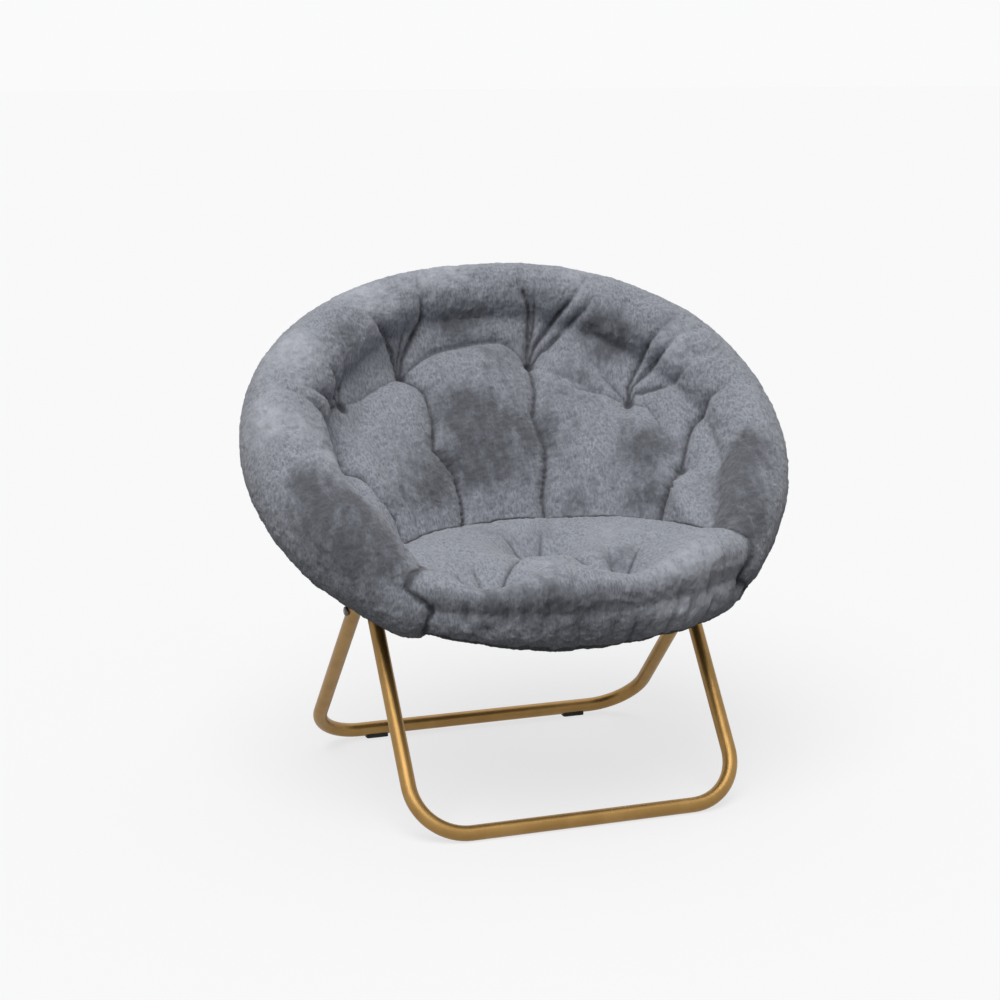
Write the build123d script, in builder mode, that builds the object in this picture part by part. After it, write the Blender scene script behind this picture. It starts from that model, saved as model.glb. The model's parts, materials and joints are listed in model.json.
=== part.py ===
from build123d import *
import os
from math import asin, cos, degrees, hypot, radians, sin, sqrt

# Folding saucer chair. Millimetres, +X to the sitter's left, +Y to the back, +Z up.
# The origin lies on the floor, below the middle of the whole chair's outline.

# ---------------------------------------------------------------- driving sizes
tube_diameter = 22.0
tube_wall = 1.2

# Leg frames: two U-shaped tubes that cross like an X in the side view.
front_foot_reach = 293.4        # origin to the front floor bar's centre line
rear_foot_reach = 192.2         # origin to the rear floor bar's centre line
front_foot_lean = 38.6          # degrees from upright, leaning back
rear_foot_lean = 44.1           # degrees from upright, leaning forward
front_foot_half_width = 247.6   # middle of the chair to an upright's centre line
front_foot_upright = 750.0      # floor bar to the upper pivot, along the upright
rear_foot_upright = 490.0       # floor bar to the upper pin, along the upright
leg_bend_radius = 78.0          # centre line radius of the two lower corners
cross_spacer_thickness = 6.2    # between the two frames at the cross pivot

# Rubber feet, under the rear floor bar only.
foot_length = 36.0
foot_drop = 3.0                 # rubber below the tube
foot_width = 17.0
foot_spacing = 340.0            # middle of one foot to middle of the other
foot_wrap = 7.0                 # height of a foot, which reaches up round the tube
foot_corner = 4.0

# Flattened tube ends at the upper pivots.
flat_thickness = 5.0
flat_width = 26.0
flat_taper_length = 24.0
tab_end_radius = 12.0
tab_straight = 14.0             # flat part between the taper and the pivot's round end

# Hoop that carries the seat.
hoop_radius = 341.0
hoop_tilt = 32.7                # degrees that the hoop rises towards the back
hoop_centre_y = 0.4
hoop_centre_z = 498.7
hinge_slope = -147.0            # hinge axis, measured up the slope from the hoop's centre
hinge_drop = 38.0               # hinge axis below the hoop's centre line
hinge_gap = 28.0                # hinge axis to each tube end, along the slope

# Fasteners.
pivot_radius = 4.0
pivot_head_radius = 7.5
pivot_head_height = 3.0
bolt_radius = 3.0
bolt_head_radius = 7.5
bolt_head_height = 4.5
nut_across_flats = 10.0
nut_height = 5.0
spacer_radius = 9.0
plate_thickness = 3.0
plug_flange = 1.5
plug_length = 8.0

# Slot in the rear-foot frame's upper ends, measured from the pin's place at rest.
slot_along = 12.7               # up the leg
slot_forward = 17.4             # square to the leg, towards the front
slot_clearance = 0.5

# Clearances.
running_clearance = 0.05        # radial, pin in a turning part
seat_gap = 0.1                  # between parts that lie against each other
soft_gap = 0.3                  # between cloth or padding and everything else
soft_room = 3.0                 # round the legs, brackets and pins inside the padding
side_gap = 0.4                  # between plates that turn past each other

# Padding: a bolster that wraps the hoop, a dished back pad and a level seat pad.
pad_ring_radius = 359.4         # centre line of the bolster
pad_ring_rise = 10.0            # bolster's centre line above the hoop's
bolster_radius = 60.0
lip_radius = 50.0               # bolster of the seat pad, over the front of the hoop
dish_depth = 150.0              # bolster's centre plane to the middle of the dish
dish_thickness = 45.0
seat_half_width = 230.0         # at the front, where the seat pad meets the side bolsters
seat_side_half_width = 262.0    # behind that, inside the bolster
seat_back_half_width = 165.0
seat_back_y = 23.4              # crease between the seat pad and the back pad
seat_top = 357.0
seat_thickness = 55.0
seat_corner = 24.0

# Cloth.
sleeve_thickness = 1.4          # sleeves of the cover, drawn over the hoop
sleeve_start = 42.0             # end of a hoop tube to the sleeve, along the slope

# ---------------------------------------------------------------- worked-out sizes
tube_radius = tube_diameter / 2
rear_foot_half_width = front_foot_half_width + tube_diameter + cross_spacer_thickness
front_bar_z = tube_radius
rear_bar_z = tube_radius + foot_drop


def up_the_leg(foot_y, foot_z, lean, length):
    """Side-view point on an upright's centre line, at a length from the floor bar."""
    return foot_y + length * sin(radians(lean)), foot_z + length * cos(radians(lean))


def on_the_hoop(slope, rise):
    """Side-view point from the hoop's centre: up its slope, then square to its plane."""
    tilt = radians(hoop_tilt)
    return (
        hoop_centre_y + slope * cos(tilt) - rise * sin(tilt),
        hoop_centre_z + slope * sin(tilt) + rise * cos(tilt),
    )


def hoop_coordinates(point):
    """The reverse of on_the_hoop: slope and rise of a side-view point."""
    tilt = radians(hoop_tilt)
    y, z = point[0] - hoop_centre_y, point[1] - hoop_centre_z
    return y * cos(tilt) + z * sin(tilt), z * cos(tilt) - y * sin(tilt)


def hoop_crossing(x, side):
    """Side-view point of the hoop's centre line at a distance x, side -1 front or +1 rear."""
    return on_the_hoop(side * sqrt(hoop_radius**2 - x**2), 0)


front_lean = radians(front_foot_lean)
rear_lean = radians(rear_foot_lean)
rear_pivot = up_the_leg(-front_foot_reach, front_bar_z, front_foot_lean, front_foot_upright)
front_pin = up_the_leg(rear_foot_reach, rear_bar_z, -rear_foot_lean, rear_foot_upright)
slot_end = (
    front_pin[0] - slot_along * sin(rear_lean) - slot_forward * cos(rear_lean),
    front_pin[1] + slot_along * cos(rear_lean) - slot_forward * sin(rear_lean),
)
hinge_axis = on_the_hoop(hinge_slope, -hinge_drop)

# Crossing of the two frames in the side view.
bar_distance = front_foot_reach + rear_foot_reach
cross_length = (
    bar_distance * cos(rear_lean) + (rear_bar_z - front_bar_z) * sin(rear_lean)
) / sin(front_lean + rear_lean)
cross_pivot = up_the_leg(-front_foot_reach, front_bar_z, front_foot_lean, cross_length)

# Hinge plates stand either side of the hoop's width at the hinge.
front_end_angle = degrees(asin((hinge_slope - hinge_gap) / hoop_radius))
rear_end_angle = degrees(asin((hinge_slope + hinge_gap) / hoop_radius))
front_end_x = hoop_radius * cos(radians(front_end_angle))
rear_end_x = hoop_radius * cos(radians(rear_end_angle))
front_plate_x = front_end_x + tube_radius * cos(radians(front_end_angle)) - 1.0
rear_plate_x = rear_end_x - tube_radius * cos(radians(rear_end_angle)) + 1.0
hinge_washer_thickness = rear_plate_x - plate_thickness - front_plate_x - 2 * side_gap

# Leg brackets stand on the outer side of the flattened tube ends.
rear_bracket_x = front_foot_half_width + flat_thickness / 2 + side_gap
front_bracket_x = rear_foot_half_width + flat_thickness / 2 + side_gap

# Planes.
tilt_angle = radians(hoop_tilt)
front_leg_plane = Plane(
    origin=(0, -front_foot_reach, front_bar_z),
    x_dir=(1, 0, 0),
    z_dir=(0, -cos(front_lean), sin(front_lean)),
)
rear_leg_plane = Plane(
    origin=(0, rear_foot_reach, rear_bar_z),
    x_dir=(1, 0, 0),
    z_dir=(0, -cos(rear_lean), -sin(rear_lean)),
)
hoop_plane = Plane(
    origin=(0, hoop_centre_y, hoop_centre_z),
    x_dir=(1, 0, 0),
    z_dir=(0, -sin(tilt_angle), cos(tilt_angle)),
)
pad_origin = on_the_hoop(0, pad_ring_rise)
pad_plane = Plane(
    origin=(0, *pad_origin),
    x_dir=(1, 0, 0),
    z_dir=(0, -sin(tilt_angle), cos(tilt_angle)),
)
pad_profile_plane = Plane(
    origin=(0, *pad_origin),
    x_dir=(1, 0, 0),
    z_dir=(0, -cos(tilt_angle), -sin(tilt_angle)),
)
pad_axis = Axis(origin=(0, *pad_origin), direction=(0, -sin(tilt_angle), cos(tilt_angle)))

# Solids that other pieces are cut back from.
sleeve_radius = tube_radius + seat_gap + sleeve_thickness
hoop_keepout = hoop_plane * Torus(hoop_radius, tube_radius + seat_gap)
sleeve_keepout = hoop_plane * Torus(hoop_radius, sleeve_radius + soft_gap)


def side_plane(x):
    """Plane square to the chair's width: its own x and y are the chair's y and z."""
    return Plane.YZ.offset(x)


def leg_tube(plane, half_width, tube_length):
    """U-shaped tube in a leg plane, open at the two upper ends."""
    with BuildPart() as tube:
        with BuildLine(plane) as route:
            FilletPolyline(
                (-half_width, tube_length),
                (-half_width, 0),
                (half_width, 0),
                (half_width, tube_length),
                radius=leg_bend_radius,
            )
        with BuildSketch(Plane(origin=route.line @ 0, z_dir=route.line % 0)):
            Circle(tube_radius)
            Circle(tube_radius - tube_wall, mode=Mode.SUBTRACT)
        sweep()
    return tube.part


def tube_end_taper(plane, half_width, start_length):
    """Taper from the round tube to its flattened end, on the chair's left side."""
    with BuildPart() as taper:
        base = plane.origin + plane.y_dir * start_length + plane.x_dir * half_width
        tip = base + plane.y_dir * flat_taper_length
        with BuildSketch(Plane(origin=base, x_dir=plane.x_dir, z_dir=plane.y_dir)):
            Circle(tube_radius)
        with BuildSketch(Plane(origin=tip, x_dir=plane.x_dir, z_dir=plane.y_dir)):
            RectangleRounded(flat_thickness, flat_width, flat_thickness / 2 - 0.1)
        loft()
    return taper.part


# ================================================================ leg frames
front_tube_length = front_foot_upright - tab_straight - flat_taper_length
rear_tube_length = rear_foot_upright - tab_straight - flat_taper_length

with BuildPart() as front_foot_frame:
    add(leg_tube(front_leg_plane, front_foot_half_width, front_tube_length))
    add(tube_end_taper(front_leg_plane, front_foot_half_width, front_tube_length))
    with BuildSketch(side_plane(front_foot_half_width - flat_thickness / 2)):
        root = up_the_leg(
            -front_foot_reach, front_bar_z, front_foot_lean, front_foot_upright - tab_straight
        )
        with Locations(root):
            Rectangle(flat_width, 2.0, rotation=-front_foot_lean)
        with Locations(rear_pivot):
            Circle(tab_end_radius)
        make_hull()
    extrude(amount=flat_thickness)
    mirror(front_foot_frame.part.solids().sort_by(Axis.X)[-1], about=Plane.YZ)
    with BuildSketch(Plane.YZ):
        with Locations(rear_pivot):
            Circle(pivot_radius + running_clearance)
        with Locations(cross_pivot):
            Circle(bolt_radius + running_clearance)
    extrude(amount=hoop_radius, both=True, mode=Mode.SUBTRACT)
front_foot_frame.part.label = "front_foot_frame"

with BuildPart() as rear_foot_frame:
    add(leg_tube(rear_leg_plane, rear_foot_half_width, rear_tube_length))
    add(tube_end_taper(rear_leg_plane, rear_foot_half_width, rear_tube_length))
    with BuildSketch(side_plane(rear_foot_half_width - flat_thickness / 2)):
        root = up_the_leg(
            rear_foot_reach, rear_bar_z, -rear_foot_lean, rear_foot_upright - tab_straight
        )
        with Locations(root):
            Rectangle(flat_width, 2.0, rotation=rear_foot_lean)
        with Locations(front_pin, slot_end):
            Circle(tab_end_radius - 1.0)
        make_hull()
    extrude(amount=flat_thickness)
    mirror(rear_foot_frame.part.solids().sort_by(Axis.X)[-1], about=Plane.YZ)
    with BuildSketch(Plane.YZ):
        with Locations(front_pin, slot_end):
            Circle(pivot_radius + slot_clearance)
        make_hull()
        with Locations(cross_pivot):
            Circle(bolt_radius + running_clearance)
    extrude(amount=hoop_radius, both=True, mode=Mode.SUBTRACT)
rear_foot_frame.part.label = "rear_foot_frame"

with BuildPart() as rubber_feet:
    with BuildSketch(Plane.XY) as foot_outline:
        with Locations((-foot_spacing / 2, rear_foot_reach), (foot_spacing / 2, rear_foot_reach)):
            RectangleRounded(foot_length, foot_width, foot_corner)
    extrude(amount=foot_wrap)
    with BuildSketch(Plane.YZ):
        with Locations((rear_foot_reach, rear_bar_z)):
            Circle(tube_radius + seat_gap)
    extrude(amount=rear_foot_half_width, both=True, mode=Mode.SUBTRACT)
rubber_feet.part.label = "rubber_feet"

# ================================================================ cross pivot
bolt_outer_x = rear_foot_half_width + tube_radius + seat_gap
bolt_inner_x = front_foot_half_width - tube_radius - seat_gap

with BuildPart() as cross_pivot_bolts:
    with BuildSketch(side_plane(bolt_inner_x - nut_height - 2.0)):
        with Locations(cross_pivot):
            Circle(bolt_radius)
    extrude(amount=bolt_outer_x - bolt_inner_x + nut_height + 2.0)
    with BuildSketch(side_plane(bolt_outer_x)):
        with Locations(cross_pivot):
            Circle(bolt_head_radius)
    extrude(amount=bolt_head_height)
    fillet(cross_pivot_bolts.faces().sort_by(Axis.X)[-1].edges(), radius=bolt_head_height * 0.8)
    mirror(about=Plane.YZ)
cross_pivot_bolts.part.label = "cross_pivot_bolts"

with BuildPart() as cross_pivot_nuts:
    with BuildSketch(side_plane(bolt_inner_x)):
        with Locations(cross_pivot):
            RegularPolygon(nut_across_flats / 2, 6, major_radius=False)
            Circle(bolt_radius + running_clearance, mode=Mode.SUBTRACT)
    extrude(amount=-nut_height)
    mirror(about=Plane.YZ)
cross_pivot_nuts.part.label = "cross_pivot_nuts"

with BuildPart() as cross_pivot_spacers:
    with BuildSketch(side_plane(front_foot_half_width + tube_radius + seat_gap)):
        with Locations(cross_pivot):
            Circle(spacer_radius)
            Circle(bolt_radius + running_clearance, mode=Mode.SUBTRACT)
    extrude(amount=cross_spacer_thickness - 2 * seat_gap)
    mirror(about=Plane.YZ)
cross_pivot_spacers.part.label = "cross_pivot_spacers"


# ================================================================ hoop
def hoop_tube(start_angle, arc_size, outer_radius, inner_radius):
    """Arc of hollow tube in the hoop's plane."""
    with BuildPart() as arc:
        with BuildLine(hoop_plane) as route:
            CenterArc((0, 0), hoop_radius, start_angle, arc_size)
        with BuildSketch(Plane(origin=route.line @ 0, z_dir=route.line % 0)):
            Circle(outer_radius)
            Circle(inner_radius, mode=Mode.SUBTRACT)
        sweep()
    return arc.part


def hoop_plugs(angle):
    """Pair of end plugs, facing along the hoop at an angle and its mirror image."""
    place = hoop_plane.origin + hoop_plane.x_dir * hoop_radius * cos(radians(angle))
    place += hoop_plane.y_dir * hoop_radius * sin(radians(angle))
    along = hoop_plane.y_dir * cos(radians(angle)) - hoop_plane.x_dir * sin(radians(angle))
    outward = along if (hinge_slope / hoop_radius) > sin(radians(angle)) else along * -1
    with BuildPart() as plug:
        with BuildSketch(Plane(origin=place + outward * seat_gap, z_dir=outward)):
            Circle(tube_radius - 0.2)
        extrude(amount=plug_flange)
        with BuildSketch(Plane(origin=place + outward * seat_gap, z_dir=outward)):
            Circle(tube_radius - tube_wall - 2 * seat_gap)
        extrude(amount=-plug_length)
        mirror(about=Plane.YZ)
    return plug.part


with BuildPart() as rear_hoop_arc:
    add(hoop_tube(
        rear_end_angle, 180.0 - 2 * rear_end_angle, tube_radius, tube_radius - tube_wall
    ))
rear_hoop_arc.part.label = "rear_hoop_arc"

with BuildPart() as front_hoop_arc:
    add(hoop_tube(
        180.0 - front_end_angle, 180.0 + 2 * front_end_angle, tube_radius, tube_radius - tube_wall
    ))
front_hoop_arc.part.label = "front_hoop_arc"

with BuildPart() as rear_arc_plugs:
    add(hoop_plugs(rear_end_angle))
rear_arc_plugs.part.label = "rear_arc_plugs"

with BuildPart() as front_arc_plugs:
    add(hoop_plugs(front_end_angle))
front_arc_plugs.part.label = "front_arc_plugs"


# ================================================================ hoop hinge and leg brackets
def hoop_plate(inner_x, pivot, anchors, hole_radius):
    """Pair of plates welded to the hoop, from a pivot up to places on the tube."""
    with BuildPart() as plate:
        with BuildSketch(side_plane(inner_x)):
            with Locations(pivot):
                Circle(tab_end_radius - 1.0)
            with Locations(*anchors):
                Circle(tube_radius)
            make_hull()
            with Locations(pivot):
                Circle(hole_radius, mode=Mode.SUBTRACT)
        extrude(amount=plate_thickness)
        add(hoop_keepout, mode=Mode.SUBTRACT)
    kept = plate.part.solids().sort_by(lambda piece: hypot(
        piece.center().Y - pivot[0], piece.center().Z - pivot[1]
    ))[0]
    with BuildPart() as pair:
        add(kept)
        mirror(about=Plane.YZ)
    return pair.part


rear_bracket_anchor = hoop_crossing(rear_bracket_x + plate_thickness, 1)
front_bracket_anchor = hoop_crossing(front_bracket_x + plate_thickness, -1)
rear_hinge_anchor = on_the_hoop(hinge_slope + hinge_gap, 0)
rear_hinge_anchor_2 = on_the_hoop(hinge_slope + hinge_gap + tube_diameter, -tube_radius)
front_hinge_anchor = on_the_hoop(hinge_slope - hinge_gap, 0)
front_hinge_anchor_2 = on_the_hoop(hinge_slope - hinge_gap - tube_diameter, -tube_radius)

with BuildPart() as rear_leg_brackets:
    add(hoop_plate(
        rear_bracket_x, rear_pivot, [rear_bracket_anchor], pivot_radius + running_clearance
    ))
rear_leg_brackets.part.label = "rear_leg_brackets"

with BuildPart() as front_leg_brackets:
    add(hoop_plate(
        front_bracket_x, front_pin, [front_bracket_anchor], pivot_radius + running_clearance
    ))
front_leg_brackets.part.label = "front_leg_brackets"

with BuildPart() as rear_hinge_plates:
    add(hoop_plate(
        rear_plate_x - plate_thickness,
        hinge_axis,
        [rear_hinge_anchor, rear_hinge_anchor_2],
        pivot_radius + running_clearance,
    ))
rear_hinge_plates.part.label = "rear_hinge_plates"

with BuildPart() as front_hinge_plates:
    add(hoop_plate(
        front_plate_x - plate_thickness,
        hinge_axis,
        [front_hinge_anchor, front_hinge_anchor_2],
        pivot_radius + running_clearance,
    ))
front_hinge_plates.part.label = "front_hinge_plates"


def rivets(pivot, inner_x, outer_x):
    """Pair of headed pins along the chair's width, shank from inner_x to outer_x."""
    with BuildPart() as rivet:
        with BuildSketch(side_plane(inner_x)):
            with Locations(pivot):
                Circle(pivot_radius)
        extrude(amount=outer_x - inner_x)
        with BuildSketch(side_plane(inner_x), side_plane(outer_x + pivot_head_height)):
            with Locations(pivot):
                Circle(pivot_head_radius)
        extrude(amount=-pivot_head_height)
        fillet(
            rivet.faces().sort_by(Axis.X)[-1].edges() + rivet.faces().sort_by(Axis.X)[0].edges(),
            radius=pivot_head_height * 0.6,
        )
        mirror(about=Plane.YZ)
    return rivet.part


with BuildPart() as rear_leg_rivets:
    add(rivets(
        rear_pivot,
        front_foot_half_width - flat_thickness / 2 - side_gap,
        rear_bracket_x + plate_thickness + seat_gap,
    ))
rear_leg_rivets.part.label = "rear_leg_rivets"

with BuildPart() as front_slot_pins:
    add(rivets(
        front_pin,
        rear_foot_half_width - flat_thickness / 2 - side_gap,
        front_bracket_x + plate_thickness + seat_gap,
    ))
front_slot_pins.part.label = "front_slot_pins"

with BuildPart() as hoop_hinge_rivets:
    add(rivets(
        hinge_axis, front_plate_x - plate_thickness - side_gap, rear_plate_x + seat_gap
    ))
hoop_hinge_rivets.part.label = "hoop_hinge_rivets"

with BuildPart() as hoop_hinge_washers:
    with BuildSketch(side_plane(front_plate_x + side_gap)):
        with Locations(hinge_axis):
            Circle(pivot_head_radius + 1.0)
            Circle(pivot_radius + running_clearance, mode=Mode.SUBTRACT)
    extrude(amount=hinge_washer_thickness)
    mirror(about=Plane.YZ)
hoop_hinge_washers.part.label = "hoop_hinge_washers"


# ================================================================ padding
def pad_section(growth):
    """Half section of the bolster and dish about the pad's axis, grown by a clearance."""
    ring = bolster_radius + growth
    under = dish_depth + dish_thickness + growth
    with BuildSketch(pad_profile_plane) as section:
        with BuildLine():
            rim = CenterArc((pad_ring_radius, 0), ring, -110, 290)
            top = Spline(
                rim @ 1,
                (pad_ring_radius * 0.72, -24 + growth),
                (pad_ring_radius * 0.46, -0.70 * dish_depth + growth),
                (0, -dish_depth + growth),
                tangents=[(-0.1, -1), (-1, 0)],
            )
            drop = Line(top @ 1, (0, -under))
            Spline(
                drop @ 1,
                (hoop_radius * 0.55, -0.76 * under),
                rim @ 0,
                tangents=[(1, 0), (1, 0.1)],
            )
        make_face()
    return section.sketch


lip = on_the_hoop(-pad_ring_radius, pad_ring_rise)


def fold_plane(offset):
    """Plane across the chair at the fold line, facing up the slope."""
    return Plane(
        origin=(0, *on_the_hoop(hinge_slope + offset, 0)),
        x_dir=(1, 0, 0),
        z_dir=(0, cos(tilt_angle), sin(tilt_angle)),
    )


def leg_pocket(plane, half_width, length):
    """Rooms for both uprights from below, ending at the upper pivots."""
    width = tube_diameter + 2 * soft_room
    with BuildPart() as pocket:
        with Locations(plane):
            for side in (-1, 1):
                with Locations((side * half_width, length / 2, 0)):
                    Box(width, length, width)
    return pocket.part


def pivot_pocket(points, inner_x, outer_x):
    """Rooms on both sides for plates, their pin and its heads, open downwards."""
    slope = sum(hoop_coordinates(point)[0] for point in points) / len(points)
    head_room = pivot_head_height + soft_room
    with BuildPart() as pocket:
        with BuildSketch(side_plane(inner_x - head_room)):
            with Locations(*points, on_the_hoop(slope, -pad_ring_radius * 0.36)):
                Circle(tab_end_radius + soft_room)
            make_hull()
        extrude(amount=outer_x - inner_x + 2 * head_room)
        mirror(about=Plane.YZ)
    return pocket.part


pockets = [
    leg_pocket(front_leg_plane, front_foot_half_width, front_foot_upright),
    leg_pocket(rear_leg_plane, rear_foot_half_width, rear_foot_upright),
    pivot_pocket(
        [rear_pivot, rear_bracket_anchor],
        front_foot_half_width - flat_thickness / 2 - side_gap,
        rear_bracket_x + plate_thickness,
    ),
    pivot_pocket(
        [front_pin, slot_end, front_bracket_anchor],
        rear_foot_half_width - flat_thickness / 2 - side_gap,
        front_bracket_x + plate_thickness,
    ),
    pivot_pocket(
        [
            hinge_axis,
            rear_hinge_anchor,
            rear_hinge_anchor_2,
            front_hinge_anchor,
            front_hinge_anchor_2,
        ],
        front_plate_x - plate_thickness - side_gap,
        rear_plate_x,
    ),
]

with BuildPart() as full_dish:
    add(pad_section(0))
    revolve(axis=pad_axis, revolution_arc=360)
with BuildPart() as rear_dish_keepout:
    add(pad_section(soft_gap))
    revolve(axis=pad_axis, revolution_arc=360)
    split(bisect_by=fold_plane(0), keep=Keep.TOP)
with BuildPart() as side_dish_keepout:
    add(pad_section(soft_gap))
    revolve(axis=pad_axis, revolution_arc=360)
    split(bisect_by=fold_plane(soft_gap), keep=Keep.BOTTOM)
    with Locations(pad_plane):
        Box(2 * seat_half_width, 3 * pad_ring_radius, 2 * pad_ring_radius, mode=Mode.SUBTRACT)

with BuildPart() as back_pad:
    add(full_dish.part)
    split(bisect_by=fold_plane(soft_gap / 2), keep=Keep.TOP)
    add(sleeve_keepout, mode=Mode.SUBTRACT)
    for pocket in pockets:
        add(pocket, mode=Mode.SUBTRACT)
back_pad.part.label = "back_pad"

with BuildPart() as seat_pad:
    with Locations(pad_plane):
        Torus(pad_ring_radius, lip_radius)
    split(bisect_by=side_plane(seat_half_width), keep=Keep.BOTTOM)
    split(bisect_by=side_plane(-seat_half_width), keep=Keep.TOP)
    split(bisect_by=fold_plane(0), keep=Keep.BOTTOM)
    with BuildSketch(Plane.XY.offset(seat_top - seat_thickness)) as seat_outline:
        with BuildLine() as half_outline:
            Polyline(
                (0, seat_back_y),
                (seat_back_half_width, seat_back_y),
                (seat_side_half_width, lip[0] + 4 * lip_radius),
                (seat_side_half_width, lip[0] + 2.8 * lip_radius),
                (seat_half_width, lip[0] + 1.5 * lip_radius),
                (0, lip[0]),
                close=True,
            )
        make_face()
        mirror(about=Plane.YZ)
    extrude(amount=seat_thickness)
    fillet(seat_pad.edges().filter_by(Axis.Z).group_by(Axis.Y)[-1], radius=seat_corner)
    add(rear_dish_keepout.part, mode=Mode.SUBTRACT)
    add(side_dish_keepout.part, mode=Mode.SUBTRACT)
    add(sleeve_keepout, mode=Mode.SUBTRACT)
    for pocket in pockets:
        add(pocket, mode=Mode.SUBTRACT)
seat_pad.part.label = "seat_pad"

with BuildPart() as side_bolsters:
    add(full_dish.part)
    split(bisect_by=fold_plane(-soft_gap / 2), keep=Keep.BOTTOM)
    with Locations(pad_plane):
        Box(
            2 * (seat_half_width + soft_gap),
            3 * pad_ring_radius,
            2 * pad_ring_radius,
            mode=Mode.SUBTRACT,
        )
    add(sleeve_keepout, mode=Mode.SUBTRACT)
    for pocket in pockets:
        add(pocket, mode=Mode.SUBTRACT)
side_bolsters.part.label = "side_bolsters"

# ================================================================ sleeves of the cover
rear_sleeve_angle = degrees(asin((hinge_slope + hinge_gap + sleeve_start) / hoop_radius))
front_sleeve_angle = degrees(asin((hinge_slope - hinge_gap - sleeve_start) / hoop_radius))

with BuildPart() as rear_hoop_sleeve:
    add(hoop_tube(
        rear_sleeve_angle, 180.0 - 2 * rear_sleeve_angle, sleeve_radius, tube_radius + seat_gap
    ))
    for pocket in pockets:
        add(pocket, mode=Mode.SUBTRACT)
rear_hoop_sleeve.part.label = "rear_hoop_sleeve"

with BuildPart() as front_hoop_sleeve:
    add(hoop_tube(
        180.0 - front_sleeve_angle,
        180.0 + 2 * front_sleeve_angle,
        sleeve_radius,
        tube_radius + seat_gap,
    ))
    for pocket in pockets:
        add(pocket, mode=Mode.SUBTRACT)
front_hoop_sleeve.part.label = "front_hoop_sleeve"

# ================================================================ write the pieces
pieces = [
    front_foot_frame, rear_foot_frame, rubber_feet,
    cross_pivot_bolts, cross_pivot_nuts, cross_pivot_spacers,
    rear_hoop_arc, front_hoop_arc, rear_arc_plugs, front_arc_plugs,
    rear_leg_brackets, front_leg_brackets, rear_hinge_plates, front_hinge_plates,
    rear_leg_rivets, front_slot_pins, hoop_hinge_rivets, hoop_hinge_washers,
    back_pad, seat_pad, side_bolsters, rear_hoop_sleeve, front_hoop_sleeve,
]

os.makedirs("parts", exist_ok=True)
for piece in pieces:
    export_step(piece.part, f"parts/{piece.part.label}.step")
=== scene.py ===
"""Looks of the folding saucer chair: its pile-covered padding, painted tubes and fittings.

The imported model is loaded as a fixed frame. The three padding solids are replaced by a tufted
wrap (back and both sides) and a seat cushion, and every other piece gets its own finish.
"""
import json
import logging
import math
import random
from dataclasses import dataclass, field
from enum import Enum
from functools import cached_property
from typing import Callable, Sequence

import bmesh
import bpy
import numpy as np
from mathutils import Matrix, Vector
from mathutils.bvhtree import BVHTree


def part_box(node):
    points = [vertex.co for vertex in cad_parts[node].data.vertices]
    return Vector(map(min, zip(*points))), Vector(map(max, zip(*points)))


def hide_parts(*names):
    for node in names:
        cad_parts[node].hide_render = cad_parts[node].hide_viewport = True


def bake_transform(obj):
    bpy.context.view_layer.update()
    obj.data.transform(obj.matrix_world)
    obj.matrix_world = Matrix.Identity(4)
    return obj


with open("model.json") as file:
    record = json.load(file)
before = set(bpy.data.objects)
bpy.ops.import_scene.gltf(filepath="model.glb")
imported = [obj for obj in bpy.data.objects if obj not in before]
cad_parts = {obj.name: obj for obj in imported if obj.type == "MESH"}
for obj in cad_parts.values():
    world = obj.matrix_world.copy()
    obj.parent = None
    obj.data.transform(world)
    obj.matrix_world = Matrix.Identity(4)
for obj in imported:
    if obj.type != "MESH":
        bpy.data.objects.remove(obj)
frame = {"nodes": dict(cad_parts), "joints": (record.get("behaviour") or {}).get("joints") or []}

LOG = logging.getLogger("saucer_chair")
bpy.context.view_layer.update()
SEED = 11
FOLD_REACH = 0.108
FINE_DEPTH = 0.0035


class Side(Enum):
    """The viewer's two sides of the chair."""

    LEFT = 0
    RIGHT = 1


class Slot(Enum):
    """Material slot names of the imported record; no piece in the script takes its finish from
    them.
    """

    PILE = "pile_fabric"


class Join(Enum):
    """How a Math node joins two values."""

    ADD = "ADD"
    LARGER = "MAXIMUM"
    TIMES = "MULTIPLY"


def smooth_step(value: np.ndarray, low: float, high: float) -> np.ndarray:
    """Rises smoothly from 0 at low to 1 at high."""
    share = np.clip((value - low) / (high - low), 0.0, 1.0)
    return share * share * (3.0 - 2.0 * share)


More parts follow.
